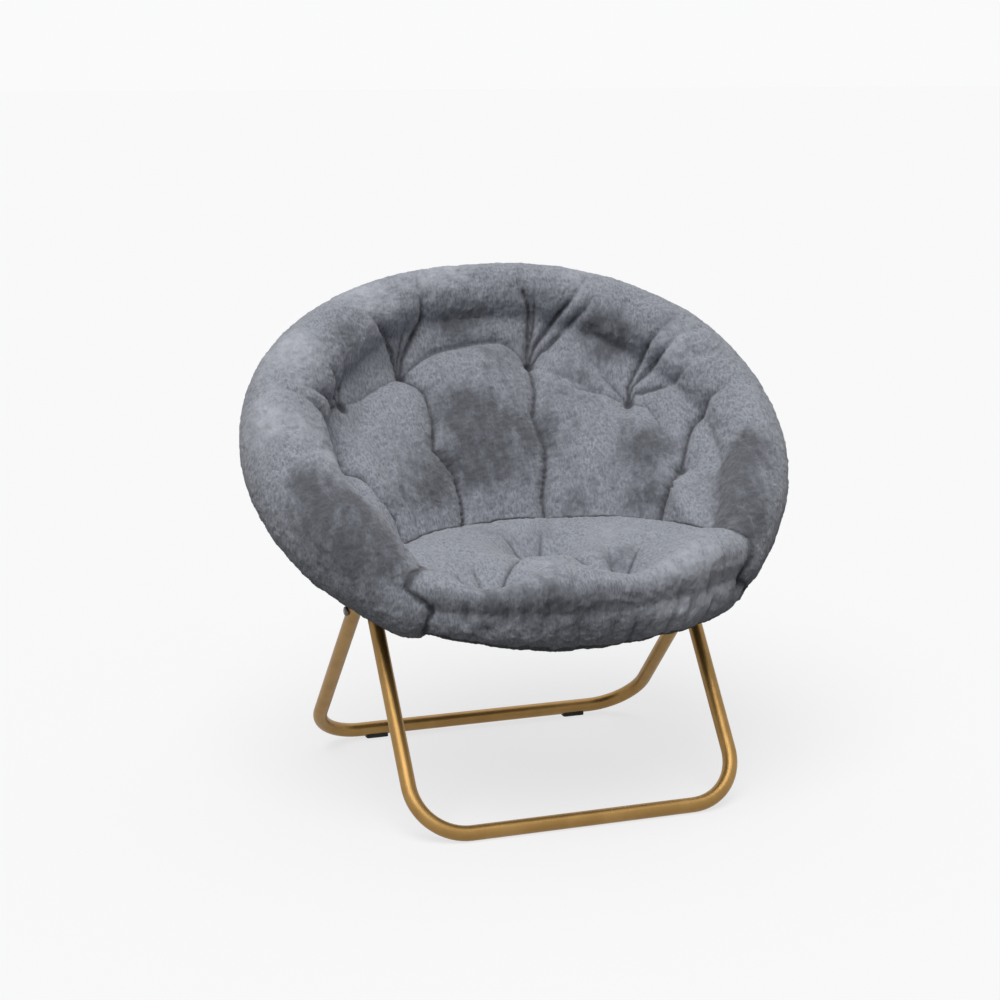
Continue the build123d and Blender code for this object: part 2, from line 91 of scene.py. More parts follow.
# ------------------------------------------------------------------ the hoop's own frame
@dataclass(frozen=True)
class HoopFrame:
    """The tilted hoop's coordinates: across, up its slope, and square to its plane.

    Attributes:
        tilt: Angle that the hoop rises towards the back, in radians.
        tube_radius: Radius of the hoop's tube.
        pad_rise: Height of the padding's centre plane above the hoop's.
    """

    tilt: float = math.radians(32.7)
    tube_radius: float = 0.011
    pad_rise: float = 0.010

    @cached_property
    def slope(self) -> np.ndarray:
        """Unit vector up the slope."""
        return np.array([0.0, math.cos(self.tilt), math.sin(self.tilt)])

    @cached_property
    def rise(self) -> np.ndarray:
        """Unit vector square to the hoop's plane."""
        return np.array([0.0, -math.sin(self.tilt), math.cos(self.tilt)])

    @cached_property
    def hoop_radius(self) -> float:
        """Centre line radius of the hoop's tube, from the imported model."""
        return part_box("rear_hoop_arc")[1].x - self.tube_radius

    @cached_property
    def origin(self) -> np.ndarray:
        """Middle of the padding's centre plane.

        Returns:
            The point, in the row frame.
        """
        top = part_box("rear_hoop_arc")[1]
        centre_y = top.y - self.hoop_radius * math.cos(self.tilt) - self.tube_radius
        centre_z = top.z - self.hoop_radius * math.sin(self.tilt) - self.tube_radius
        return np.array([0.0, centre_y, centre_z]) + self.rise * self.pad_rise

    def to_world(self, across: float, slope: float, rise: float) -> np.ndarray:
        """Row-frame point of three hoop coordinates."""
        return self.origin + np.array([across, 0.0, 0.0]) + self.slope * slope + self.rise * rise

    def to_hoop(self, points: np.ndarray) -> tuple[np.ndarray, np.ndarray, np.ndarray]:
        """Hoop coordinates of row-frame points.

        Args:
            points: Array of shape (n, 3).

        Returns:
            Three arrays: across, slope and rise.
        """
        away = points - self.origin
        return away[:, 0], away @ self.slope, away @ self.rise


HOOP = HoopFrame()


# ------------------------------------------------------------------ mesh helpers
def loft_closed(
    segments: int, stations: int, place: Callable[[float, int], Sequence[float]]
) -> bmesh.types.BMesh:
    """Closed skin: a small circle extruded from station to station, then capped.

    Args:
        segments: Points round each loop.
        stations: Number of loops.
        place: Gives the point for a turn in radians and a station's index.

    Returns:
        The new bmesh, with its faces pointing outwards.
    """
    bm = bmesh.new()
    turn = bm.verts.layers.float.new("turn")
    bmesh.ops.create_circle(bm, cap_ends=False, segments=segments, radius=1.0)
    for index, vert in enumerate(bm.verts):
        vert[turn] = 2.0 * math.pi * index / segments
        vert.co = place(vert[turn], 0)
    loop = list(bm.edges)
    bmesh.ops.contextual_create(bm, geom=loop)
    for station in range(1, stations):
        grown = bmesh.ops.extrude_edge_only(bm, edges=loop)["geom"]
        for vert in (item for item in grown if isinstance(item, bmesh.types.BMVert)):
            vert.co = place(vert[turn], station)
        fresh = {item for item in grown if isinstance(item, bmesh.types.BMVert)}
        loop = [
            item for item in grown
            if isinstance(item, bmesh.types.BMEdge) and all(v in fresh for v in item.verts)
        ]
    bmesh.ops.contextual_create(bm, geom=loop)
    bmesh.ops.recalc_face_normals(bm, faces=bm.faces)
    return bm


def new_object(bm: bmesh.types.BMesh, name: str) -> bpy.types.Object:
    """Turns a bmesh into a linked object with smooth faces, and frees it.

    Args:
        bm: The shape, which is freed.
        name: Name of the piece.

    Returns:
        The new object.
    """
    mesh = bpy.data.meshes.new(name)
    bm.to_mesh(mesh)
    bm.free()
    mesh.shade_smooth()
    obj = bpy.data.objects.new(name, mesh)
    bpy.context.scene.collection.objects.link(obj)
    return obj


def apply_modifiers(obj: bpy.types.Object) -> None:
    """Replaces an object's mesh by its evaluated mesh and clears its modifiers.

    Args:
        obj: The piece.
    """
    graph = bpy.context.evaluated_depsgraph_get()
    mesh = bpy.data.meshes.new_from_object(obj.evaluated_get(graph), depsgraph=graph)
    old = obj.data
    obj.modifiers.clear()
    obj.data = mesh
    mesh.name = obj.name
    mesh.shade_smooth()
    bpy.data.meshes.remove(old)


def remesh(obj: bpy.types.Object, voxel: float) -> None:
    """Rebuilds a closed mesh from even quads of one voxel's size.

    Args:
        obj: The piece.
        voxel: Size of a quad, in metres.
    """
    modifier = obj.modifiers.new("Remesh", "REMESH")
    modifier.mode = "VOXEL"
    modifier.voxel_size = voxel
    modifier.use_smooth_shade = True
    apply_modifiers(obj)


def subdivide(obj: bpy.types.Object, levels: int = 1) -> None:
    """Applies a subdivision surface.

    Args:
        obj: The piece.
        levels: How many times it is divided.
    """
    modifier = obj.modifiers.new("Subdivision", "SUBSURF")
    modifier.levels = levels
    modifier.render_levels = levels
    apply_modifiers(obj)


def coordinates(obj: bpy.types.Object) -> np.ndarray:
    """Vertex positions as an array of shape (n, 3).

    Args:
        obj: The piece.

    Returns:
        The positions.
    """
    points = np.empty(len(obj.data.vertices) * 3)
    obj.data.vertices.foreach_get("co", points)
    return points.reshape(-1, 3)


def set_coordinates(obj: bpy.types.Object, points: np.ndarray) -> None:
    """Writes vertex positions back."""
    obj.data.vertices.foreach_set("co", points.ravel())
    obj.data.update()


def normals(obj: bpy.types.Object) -> np.ndarray:
    """Vertex normals as an array of shape (n, 3).

    Args:
        obj: The piece.

    Returns:
        The normals.
    """
    values = np.empty(len(obj.data.vertices) * 3)
    obj.data.vertex_normals.foreach_get("vector", values)
    return values.reshape(-1, 3)


def keep_rest(obj: bpy.types.Object, points: np.ndarray) -> None:
    """Keeps where each point lay on the plain skin, for the fine creases."""
    rest = obj.data.attributes.new("rest", "FLOAT_VECTOR", "POINT")
    rest.data.foreach_set("vector", points.ravel())


def keep_ruffles_and_painted_light(obj: bpy.types.Object, ruffles_and_painted_light: Sequence["Ruffle"]) -> None:
    """Stores how much darker the pile is at each vertex, from -1, lighter, to 1: stood-up pile and
    painted shade darken, painted light lightens.

    Args:
        obj: The piece.
        ruffles_and_painted_light: Its darker and lighter patches, painted shade and painted light
            among them.
    """
    rest = np.empty(len(obj.data.vertices) * 3)
    obj.data.attributes["rest"].data.foreach_get("vector", rest)
    total = sum(patch.share(rest.reshape(-1, 3)) for patch in ruffles_and_painted_light)
    keep_values(obj, "ruffle_and_painted_light", np.clip(total, -1.0, 1.0))


def keep_values(obj: bpy.types.Object, name: str, values: np.ndarray) -> None:
    """Stores one number per vertex as a named attribute."""
    held = obj.data.attributes.get(name) or obj.data.attributes.new(name, "FLOAT", "POINT")
    held.data.foreach_set("value", values)


def ruffle(obj: bpy.types.Object, fine: float, clumps: float) -> np.ndarray:
    """Uneven height of the pile at each vertex of the fine mesh.

    Args:
        obj: The fine mesh.
        fine: Typical height of single locks.
        clumps: Typical height of wider clumps.

    Returns:
        Heights in metres, about zero.
    """
    chance = np.random.default_rng(SEED)
    count = len(obj.data.vertices)
    total = np.zeros(count)
    for height, rounds in ((fine, 1), (clumps, 14)):
        values = smoothed(obj, chance.normal(size=(count, 1)), rounds)[:, 0]
        total += height * values / values.std()
    return total


def fine_creases(obj: bpy.types.Object, features: Sequence["Groove | Tuft"]) -> None:
    """Presses thin sharp creases into the fine mesh, and keeps their shade as an attribute.

    Args:
        obj: The piece.
        features: Its seams and stitched points.
    """
    count = len(obj.data.vertices)
    rest = np.empty(count * 3)
    obj.data.attributes["rest"].data.foreach_get("vector", rest)
    rest = rest.reshape(-1, 3)
    line = np.zeros(count)
    for feature in features:
        if isinstance(feature, Groove) and feature.width < 0.015:
            share = min(feature.depth / 0.014, 1.0)
            line = np.maximum(line, share * feature.reach(rest, 0.0035))
        elif isinstance(feature, Tuft):
            gap = np.linalg.norm(rest - feature.place, axis=1)
            line = np.maximum(line, np.exp(-((gap / 0.009) ** 2)))
    height = ruffle(obj, 0.00035, 0.0004) - FINE_DEPTH * line
    points = coordinates(obj) + normals(obj) * height[:, None]
    set_coordinates(obj, points)
    keep_values(obj, "crease", line)
    obj.data.attributes.remove(obj.data.attributes["rest"])


def shade_meeting(obj: bpy.types.Object, other: bpy.types.Object, width: float) -> None:
    """Deepens the crease's shade where a cushion meets its neighbour.

    Args:
        obj: The cushion whose shade is changed.
        other: The cushion that it meets.
        width: Distance at which the shade has faded to a third.
    """
    tree = BVHTree.FromObject(other, bpy.context.evaluated_depsgraph_get())
    line = np.empty(len(obj.data.vertices))
    obj.data.attributes["crease"].data.foreach_get("value", line)
    for index, point in enumerate(coordinates(obj)):
        gap = tree.find_nearest(Vector(point), 2.5 * width)[3]
        if gap is not None:
            line[index] = max(line[index], 0.95 * math.exp(-((gap / width) ** 2)))
    keep_values(obj, "crease", line)


def smoothed(obj: bpy.types.Object, values: np.ndarray, rounds: int) -> np.ndarray:
    """Averages per-vertex values with their neighbours' over the mesh's edges.

    Args:
        obj: The piece.
        values: Array of shape (n, k).
        rounds: How often they are averaged.

    Returns:
        The averaged values.
    """
    ends = np.empty(len(obj.data.edges) * 2, dtype=np.int64)
    obj.data.edges.foreach_get("vertices", ends)
    first, second = ends[0::2], ends[1::2]
    count = np.bincount(ends, minlength=len(values)).astype(float)[:, None]
    result = values.copy()
    for _ in range(rounds):
        total = np.zeros_like(result)
        for axis in range(result.shape[1]):
            total[:, axis] = np.bincount(first, result[second, axis], len(values))
            total[:, axis] += np.bincount(second, result[first, axis], len(values))
        result = 0.5 * result + 0.5 * total / count
    return result


def distance_to_path(points: np.ndarray, path: np.ndarray) -> tuple[np.ndarray, np.ndarray]:
    """Distance of each point to a line of straight runs, and how far along it lies.

    Args:
        points: Array of shape (n, 3).
        path: Array of shape (m, 3).

    Returns:
        Distances, and shares from 0 at the path's start to 1 at its end.
    """
    best = np.full(len(points), np.inf)
    share = np.zeros(len(points))
    lengths = np.linalg.norm(np.diff(path, axis=0), axis=1)
    before = np.concatenate([[0.0], np.cumsum(lengths)])
    for index, length in enumerate(lengths):
        start, run = path[index], path[index + 1] - path[index]
        along = np.clip((points - start) @ run / (length * length + 1e-12), 0.0, 1.0)
        gap = np.linalg.norm(points - start - along[:, None] * run, axis=1)
        nearer = gap < best
        best[nearer] = gap[nearer]
        share[nearer] = (before[index] + along[nearer] * length) / before[-1]
    return best, share


# ------------------------------------------------------------------ sewn features
@dataclass(frozen=True)
class Groove:
    """A seam, crease or pleat pressed into the padding.

    Attributes:
        path: Points that it runs through, in the row frame.
        depth: How far the cloth is drawn in at its deepest.
        width: Distance at which the drawing-in has faded to a third.
        fade_in: Share of the length over which it deepens from its start.
        fade_out: Share of the length over which it dies away at its end.
    """

    path: np.ndarray
    depth: float
    width: float
    fade_in: float = 0.0
    fade_out: float = 0.3

    def pull(self, points: np.ndarray) -> np.ndarray:
        """How far each point is drawn in."""
        return self.depth * self.reach(points, self.width)

    def reach(self, points: np.ndarray, width: float) -> np.ndarray:
        """Share from 0 to 1 of the drawing-in at each point, for a given width.

        Args:
            points: Array of shape (n, 3).
            width: Distance at which it fades.

        Returns:
            The shares.
        """
        near = np.full(len(points), 0.0)
        low, high = self.path.min(0) - 6 * width, self.path.max(0) + 6 * width
        inside = np.where(np.all((points > low) & (points < high), axis=1))[0]
        if len(inside) == 0:
            return near
        gap, share = distance_to_path(points[inside], self.path)
        strength = np.exp(-gap / width)
        if self.fade_in > 0:
            strength *= smooth_step(share, -0.02, self.fade_in)
        if self.fade_out > 0:
            strength *= 1.0 - smooth_step(share, 1.0 - self.fade_out, 1.0)
        near[inside] = strength
        return near


@dataclass(frozen=True)
class Ruffle:
    """A darker patch where the pile stands up, or a lighter one where its strength is below zero;
    some patches are painted shade on the panels and painted light on the tops and the lip.

    Attributes:
        place: Its middle, in the row frame.
        size: Distance at which it has faded to a third.
        strength: Its darkness, or its lightness where it is below zero.
    """

    place: np.ndarray
    size: float
    strength: float

    def share(self, points: np.ndarray) -> np.ndarray:
        """How much each point is darkened, or lightened below zero, by the patch."""
        gap = np.linalg.norm(points - self.place, axis=1)
        return self.strength * np.exp(-((gap / self.size) ** 2))


@dataclass(frozen=True)
class Tuft:
    """A point where the padding is stitched right through.

    Attributes:
        place: The stitched point, in the row frame.
        depth: How far it is drawn in.
        width: Size of the hollow round it.
    """

    place: np.ndarray
    depth: float
    width: float

    def pull(self, points: np.ndarray) -> np.ndarray:
        """How far each point is drawn in."""
        gap = np.linalg.norm(points - self.place, axis=1)
        point = np.exp(-gap / self.width)
        bowl = np.exp(-(gap / (2.2 * self.width)) ** 2)
        return self.depth * (0.55 * point + 0.45 * bowl)


def deepest(features: Sequence[Groove | Tuft], points: np.ndarray) -> np.ndarray:
    """Joins features so that where they meet they don't add up to more than their sum's root.

    Args:
        features: Seams and stitched points.
        points: Array of shape (n, 3).

    Returns:
        How far each point is drawn in.
    """
    total = np.zeros(len(points))
    for feature in features:
        total += feature.pull(points) ** 2
    return np.sqrt(total)


def relax_cloth(
    obj: bpy.types.Object, pinned: np.ndarray, pressure: float, frames: int, cap: float
) -> None:
    """Swells a padded skin with a short cloth simulation and applies the result.

    Args:
        obj: The closed skin, as an even mesh.
        pinned: Weight from 0, free, to 1, held, for each vertex.
        pressure: Air pressure inside.
        frames: How many frames are simulated.
        cap: The furthest that a point may move, in metres.
    """
    start = coordinates(obj)
    group = obj.vertex_groups.new(name="held")
    levels = np.round(np.clip(pinned, 0, 1) * 20).astype(int)
    for level in range(1, 21):
        members = np.where(levels == level)[0]
        if len(members):
            group.add(members.tolist(), level / 20.0, "REPLACE")
    modifier = obj.modifiers.new("Cloth", "CLOTH")
    settings = modifier.settings
    settings.quality = 4
    settings.mass = 0.3
    settings.tension_stiffness = 12
    settings.compression_stiffness = 12
    settings.shear_stiffness = 4
    settings.bending_stiffness = 0.6
    settings.use_pressure = True
    settings.uniform_pressure_force = pressure
    settings.vertex_group_mass = "held"
    settings.pin_stiffness = 2.0
    settings.shrink_min = -0.02
    settings.effector_weights.gravity = 0.0
    modifier.collision_settings.use_collision = False
    modifier.collision_settings.use_self_collision = False
    modifier.point_cache.frame_start = 1
    modifier.point_cache.frame_end = frames
    scene = bpy.context.scene
    for number in range(1, frames + 1):
        scene.frame_set(number)
    apply_modifiers(obj)
    scene.frame_set(1)
    moved = coordinates(obj) - start
    length = np.linalg.norm(moved, axis=1, keepdims=True)
    moved *= np.minimum(1.0, cap / np.maximum(length, 1e-9))
    set_coordinates(obj, start + smoothed(obj, moved, 1))


# ------------------------------------------------------------------ where seat and wrap meet
@dataclass(frozen=True)
class SeatLine:
    """The line on which the level seat meets the wrap's panels.

    Attributes:
        half_width: Largest distance from the middle plane.
        widest: Row-frame Y of the widest place.
        back: Row-frame Y of its rearmost point.
        front: Row-frame Y of its foremost point.
        height: Height above the floor.
        roll: Rise to the viewer's right, as the cushion lies in its hoop.
    """

    half_width: float = 0.236
    widest: float = -0.160
    back: float = 0.030
    front: float = -0.290
    height: float = 0.352
    roll: float = 0.045

    def point(self, turn: float, scale: float, height: float) -> np.ndarray:
        """Point of the line at a turn, scaled about its widest place's middle.

        Args:
            turn: Turn about the middle, in radians.
            scale: Size, 1 on the line.
            height: Height above the floor.

        Returns:
            The point.
        """
        sine, cosine = math.sin(turn), -math.cos(turn)
        if cosine > 0:
            across = abs(sine) ** 1.15
            along = (self.back - self.widest) * cosine ** 1.15
        else:
            across = abs(sine) ** 0.35 if abs(sine) > 1e-9 else 0.0
            along = (self.front - self.widest) * (-cosine) ** 1.15
        return np.array([
            math.copysign(self.half_width * across, sine) * scale,
            self.widest + along * scale,
            height,
        ])



SEAT_LINE = SeatLine()


def lean(obj: bpy.types.Object, roll: float) -> None:
    """Rolls a cushion a little to one side, as the real one has settled.

    Args:
        obj: The piece.
        roll: Rise per metre to the viewer's right.
    """
    points = coordinates(obj)
    points[:, 2] += roll * points[:, 0]
    set_coordinates(obj, points)


# ------------------------------------------------------------------ the wrap: back and sides
@dataclass(frozen=True)
class SeamPlan:
    """A seam or fold of the wrap, as pairs of turn in degrees and place on the section.

    Attributes:
        stops: Pairs of turn and place. The place runs from 0, the hollow beside the bolster,
            to 1, the seat, or from 0 to -1, over the bolster to its outer top.
        depth: Depth of its narrow crease.
        width: Width of its narrow crease.
        soft: Depth of the wide hollow on both sides of it.
        fade: Share of its length over which it dies away.
    """

    stops: tuple[tuple[float, float], ...]
    depth: float = 0.012
    width: float = 0.006
    soft: float = 0.010
    fade: float = 0.0


@dataclass
class WrapCushion:
    """The bolster that wraps the hoop, with the back panels sewn into it."""

    ring_radius: float = 0.3594
    fullness: tuple[tuple[float, float], ...] = (
        (-180, 0.048), (-150, 0.056), (-120, 0.067), (-90, 0.068), (-62, 0.066), (-44, 0.050),
        (44, 0.046), (62, 0.050), (90, 0.054), (120, 0.062), (150, 0.056), (180, 0.048),
    )
    back_drawn_in: float = 0.008
    aside: float = 0.009
    hidden_radius: float = 0.024
    end_angle: float = math.radians(43.0)
    end_roundness: float = math.radians(7.0)
    end_sag: float = 0.018
    valley_radius: float = 0.264
    valley_rise: float = -0.026
    shell: float = 0.045
    bottom_height: float = 0.292
    panel_puff: float = 0.024
    voxel: float = 0.005
    tuft_depth: float = 0.022
    sag_turns: tuple[float, float] = (70.0, 44.0)
    side_turns: tuple[float, float] = (72.0, 100.0)
    bucket_middle: tuple[float, float, float] = (0.0, 0.03, 0.62)
    leg_across: float = 0.2476
    leg_end: tuple[float, float] = (0.1997, -0.0212)
    leg_fall: float = 0.338
    leg_half_width: float = 0.012
    leg_reach: tuple[float, float] = (-0.10, 0.24)
    leg_room: float = 0.021
    tufts: tuple[tuple[float, float], ...] = (
        (-153.8, 0.04), (-119.5, 0.0), (-99.0, 0.0), (157.3, 0.06), (118.1, 0.08), (90.7, 0.0),
    )
    seams: tuple[SeamPlan, ...] = (
        # panel seams down to the seat
        SeamPlan(((-153.8, 0.04), (-158.4, 0.18), (-157.1, 0.35), (-153.5, 0.49), (-159.8, 0.64),
                  (-161.4, 0.77), (-161.3, 1.0)), 0.015, 0.006, 0.020),
        SeamPlan(((157.3, 0.06), (156.4, 0.24), (158.8, 0.39), (156.0, 0.56), (157.7, 0.67),
                  (161.1, 0.81), (162.8, 1.0)), 0.015, 0.006, 0.020),
        SeamPlan(((118.1, 0.08), (121.1, 0.43), (124.5, 0.63), (132.9, 1.0)), 0.006, 0.007, 0.008),
        SeamPlan(((-119.5, 0.0), (-122.0, 0.26), (-125.4, 0.53), (-134.4, 0.78), (-138.8, 1.0)),
                 0.005, 0.007, 0.007),
        # creases beside the bolster
        SeamPlan(((-153.8, 0.04), (-166.9, 0.01), (-178.3, 0.0), (-191.4, -0.03), (-198.9, 0.03),
                  (-202.7, 0.06)), 0.010, 0.006, 0.006),
        SeamPlan(((-119.5, 0.0), (-133.8, 0.03), (-143.9, 0.05), (-153.8, 0.04)),
                 0.009, 0.006, 0.006),
        SeamPlan(((157.3, 0.06), (148.0, 0.12), (133.6, 0.14), (118.1, 0.08)), 0.006, 0.007, 0.006),
        SeamPlan(((118.1, 0.08), (109.2, 0.0), (101.5, 0.03), (96.4, 0.12)),
                 0.009, 0.006, 0.006, 0.3),
        SeamPlan(((90.7, -0.02), (91.8, 0.2), (96.3, 0.48), (104.7, 0.65), (112.6, 0.80),
                  (121.0, 1.0)), 0.016, 0.007, 0.010),
        SeamPlan(((90.7, 0.0), (94.6, -0.16), (95.7, -0.42), (94.4, -0.61), (96.5, -0.9)),
                 0.014, 0.007, 0.008, 0.6),
        SeamPlan(((-98.2, 0.07), (-112.8, 0.52), (-122.0, 0.72), (-128.9, 1.0)),
                 0.016, 0.007, 0.010),
        SeamPlan(((-98.2, 0.07), (-99.2, -0.01), (-103.8, -0.36), (-104.8, -0.74), (-106.2, -0.95)),
                 0.012, 0.006, 0.008, 0.6),
        # folds that fan over the bolster
        SeamPlan(((-119.5, 0.0), (-121.9, -0.42), (-119.8, -0.68)), 0.012, 0.007, 0.006, 0.65),
        SeamPlan(((-119.5, 0.0), (-110.5, -0.52), (-106.3, -0.81)), 0.011, 0.007, 0.005, 0.55),
        SeamPlan(((-119.5, 0.0), (-128.0, -0.30), (-130.0, -0.60)), 0.011, 0.007, 0.005, 0.65),
        SeamPlan(((-153.8, 0.04), (-164.8, -0.26), (-165.1, -0.80)), 0.018, 0.006, 0.006, 0.45),
        SeamPlan(((-153.8, 0.04), (-152.4, -0.17), (-144.4, -0.73)), 0.013, 0.006, 0.005, 0.55),
        SeamPlan(((-153.8, 0.04), (-153.6, -0.12), (-148.9, -0.49), (-147.3, -0.63)),
                 0.013, 0.006, 0.005, 0.65),
        SeamPlan(((-153.8, 0.04), (-158.5, -0.25), (-158.0, -0.55)), 0.012, 0.006, 0.005, 0.65),
        SeamPlan(((157.3, 0.06), (160.8, -0.23), (167.0, -0.83)), 0.018, 0.006, 0.005, 0.35),
        SeamPlan(((157.3, 0.06), (160.1, -0.31), (161.3, -0.73)), 0.013, 0.006, 0.005, 0.55),
        SeamPlan(((157.3, 0.06), (155.3, -0.11), (149.7, -0.56), (147.2, -0.85)),
                 0.015, 0.006, 0.005, 0.45),
        SeamPlan(((157.3, 0.06), (152.0, -0.03), (145.3, -0.46), (142.8, -0.78)),
                 0.013, 0.006, 0.005, 0.55),
        SeamPlan(((118.1, 0.08), (123.1, -0.22), (123.0, -0.39), (120.3, -0.84)),
                 0.015, 0.006, 0.006, 0.55),
        SeamPlan(((118.1, 0.08), (139.6, 0.17), (150.3, 0.05)), 0.009, 0.006, 0.005, 0.55),
        SeamPlan(((118.1, 0.08), (118.9, -0.13), (116.9, -0.5), (115.7, -0.81)),
                 0.013, 0.006, 0.005, 0.55),
        SeamPlan(((118.1, 0.08), (129.2, 0.03), (135.9, -0.08)), 0.011, 0.006, 0.005, 0.65),
        SeamPlan(((118.1, 0.08), (109.0, -0.25), (106.0, -0.62)), 0.012, 0.006, 0.005, 0.65),
        # soft folds low in the panels
        SeamPlan(((95.4, 0.14), (104.0, 0.40), (113.9, 0.68), (127.8, 1.0)), 0.005, 0.006, 0.004),
        SeamPlan(((156.0, 0.56), (149.3, 0.43), (136.5, 0.31), (124.2, 0.16)),
                 0.004, 0.008, 0.0, 0.8),
        SeamPlan(((157.3, 0.06), (153.0, 0.30), (152.5, 0.42), (156.0, 0.56)), 0.005, 0.005, 0.0),
    )
    ruffles_and_painted_light: tuple[tuple[float, float, float, float], ...] = (
        # turn in degrees, place on the section, size, strength, which lightens below zero
        (-180, -0.29, 0.045, 0.9), (-172, -0.20, 0.035, 0.6), (132, -0.32, 0.040, 1.0),
        (140, -0.33, 0.035, 0.8), (158, -0.57, 0.030, 0.5), (-135, -0.59, 0.040, 0.8),
        (71, -0.63, 0.050, 0.9), (64, -0.42, 0.050, 0.9), (50, -0.72, 0.055, 1.1),
        (47, -0.53, 0.045, 0.9), (38, -0.85, 0.045, 0.8),
        (-67, -0.92, 0.055, 1.0), (-60, -0.92, 0.055, 1.1), (-51, -0.90, 0.055, 1.0),
        (-76, -0.88, 0.040, 0.7), (-100, -0.80, 0.035, 0.5),
        (-167, 0.30, 0.040, 0.7), (-176, 0.42, 0.045, 0.8), (-173, 0.64, 0.045, 0.8),
        (171, 0.10, 0.035, 0.5), (-145, 0.70, 0.040, 0.8), (-154, 0.62, 0.030, 0.5),
        (-125, 0.62, 0.030, 0.5), (115, 0.73, 0.040, 0.8), (108, 0.32, 0.040, 0.8),
        (140, 0.10, 0.035, 0.5), (160, 0.50, 0.030, 0.4), (150, 0.90, 0.035, 0.5),
        # Wide patches of painted shade on the back panels.
        (-172, 0.50, 0.100, 0.40), (150, 0.50, 0.100, 0.50), (-140, 0.45, 0.080, 0.30),
        (115, 0.40, 0.070, 0.35),
        # Lighter patches; those on the bolster's tops are painted light.
        (-175, -0.80, 0.060, -0.8), (-150, -0.80, 0.060, -0.8), (-121, -0.93, 0.060, -0.8),
        (-98, -0.95, 0.060, -0.9), (-82, -0.55, 0.045, -0.5), (115, -0.50, 0.045, -0.6),
        (79, -0.30, 0.030, -0.5), (136, 0.51, 0.045, -0.4), (-143, 0.26, 0.040, -0.4),
        (150, -0.85, 0.050, -0.5),
    )
    name: str = "wrap_cushion"
    obj: bpy.types.Object | None = field(default=None, init=False)

    def end_share(self, turn: float) -> float:
        """1 along the visible bolster, 0 where the seat cushion hides it.

        Args:
            turn: Turn round the hoop, in radians.

        Returns:
            The share.
        """
        angle = abs(math.atan2(math.sin(turn), math.cos(turn)))
        share = (angle - self.end_angle + self.end_roundness) / self.end_roundness
        share = min(max(share, 0.0), 1.0)
        return math.sqrt(1.0 - (1.0 - share) ** 2)

    def bolster_point(self, turn: float, section: float) -> np.ndarray:
        """Point on the bolster: section 0 is outward, 90 degrees up, 180 inward.

        Args:
            turn: Turn round the hoop, in radians.
            section: Angle on the round section, in radians.

        Returns:
            The point.
        """
        share = self.end_share(turn)
        angle = math.degrees(abs(math.atan2(math.sin(turn), math.cos(turn))))
        sag_from, sag_to = self.sag_turns
        sag = min(max((sag_from - angle) / (sag_from - sag_to), 0.0), 1.0) ** 2
        signed = math.degrees(math.atan2(math.sin(turn), math.cos(turn)))
        full = float(np.interp(signed, *zip(*self.fullness)))
        radius = self.hidden_radius + (full - self.hidden_radius) * share
        reach = self.ring_radius + radius * math.cos(section)
        reach -= self.back_drawn_in * max(-math.cos(turn), 0.0) ** 2
        point = HOOP.to_world(
            reach * math.sin(turn), -reach * math.cos(turn), radius * math.sin(section)
        )
        point[2] -= self.end_sag * sag
        point[0] += self.aside
        return point

    def ring_valley(self, turn: float) -> np.ndarray:
        """Point of the hollow beside the bolster, all round the hoop.

        Args:
            turn: Turn round the hoop, in radians.

        Returns:
            The point.
        """
        return HOOP.to_world(
            self.valley_radius * math.sin(turn),
            -self.valley_radius * math.cos(turn),
            self.valley_rise,
        )

    def side_share(self, turn: float) -> float:
        """1 beside the back panels, 0 where the bolster runs straight down to the seat.

        Args:
            turn: Turn round the hoop, in radians.

        Returns:
            The share.
        """
        angle = abs(math.atan2(math.sin(turn), math.cos(turn)))
        low, high = self.side_turns
        share = (math.degrees(angle) - low) / (high - low)
        share = min(max(share, 0.0), 1.0)
        return share * share * (3.0 - 2.0 * share)

    def valley(self, turn: float) -> np.ndarray:
        """Point of the hollow between the bolster and the back panels or the seat.

        Args:
            turn: Turn round the hoop, in radians.

        Returns:
            The point.
        """
        share = self.side_share(turn)
        low = SEAT_LINE.point(turn, 0.99 + 0.05 * math.sin(turn), SEAT_LINE.height + 0.010)
        return share * self.ring_valley(turn) + (1.0 - share) * low

    def panel(self, turn: float, share: float) -> np.ndarray:
        """Point of a back panel between the hollow and the seat's crease.

        Args:
            turn: Turn round the hoop, in radians.
            share: From 0, the hollow, to 1, the seat.

        Returns:
            The point.
        """
        top, foot = self.valley(turn), SEAT_LINE.point(turn, 1.0, SEAT_LINE.height)
        chord = foot - top
        inward = np.array(self.bucket_middle) - 0.5 * (top + foot)
        square = inward - chord * (inward @ chord) / (chord @ chord)
        square /= np.linalg.norm(square)
        puff = self.panel_puff * self.side_share(turn)
        return top + chord * share + square * puff * 4.0 * share * (1.0 - share)

    def surface(self, turn: float, place: float) -> np.ndarray:
        """Point of the seen side at a place on its section, as in SeamPlan.

        Args:
            turn: Turn round the hoop, in radians.
            place: Place on the section.

        Returns:
            The point.
        """
        if place >= 0:
            return self.panel(turn, min(place, 1.0))
        if place > -0.25:
            share = -place / 0.25
            return (1 - share) * self.valley(turn) + share * self.bolster_point(turn, math.pi)
        return self.bolster_point(turn, math.radians(180.0 + (place + 0.25) / 0.75 * 120.0))

    def stations(self) -> list[Callable[[float], np.ndarray]]:
        """The wrap's section, from the underside's middle round the bolster to the inside.

        Returns:
            One function per station, which gives the point at a turn.
        """
        def under_valley(turn: float) -> np.ndarray:
            """Point of the underside below the hollow."""
            return self.ring_valley(turn) - HOOP.rise * self.shell

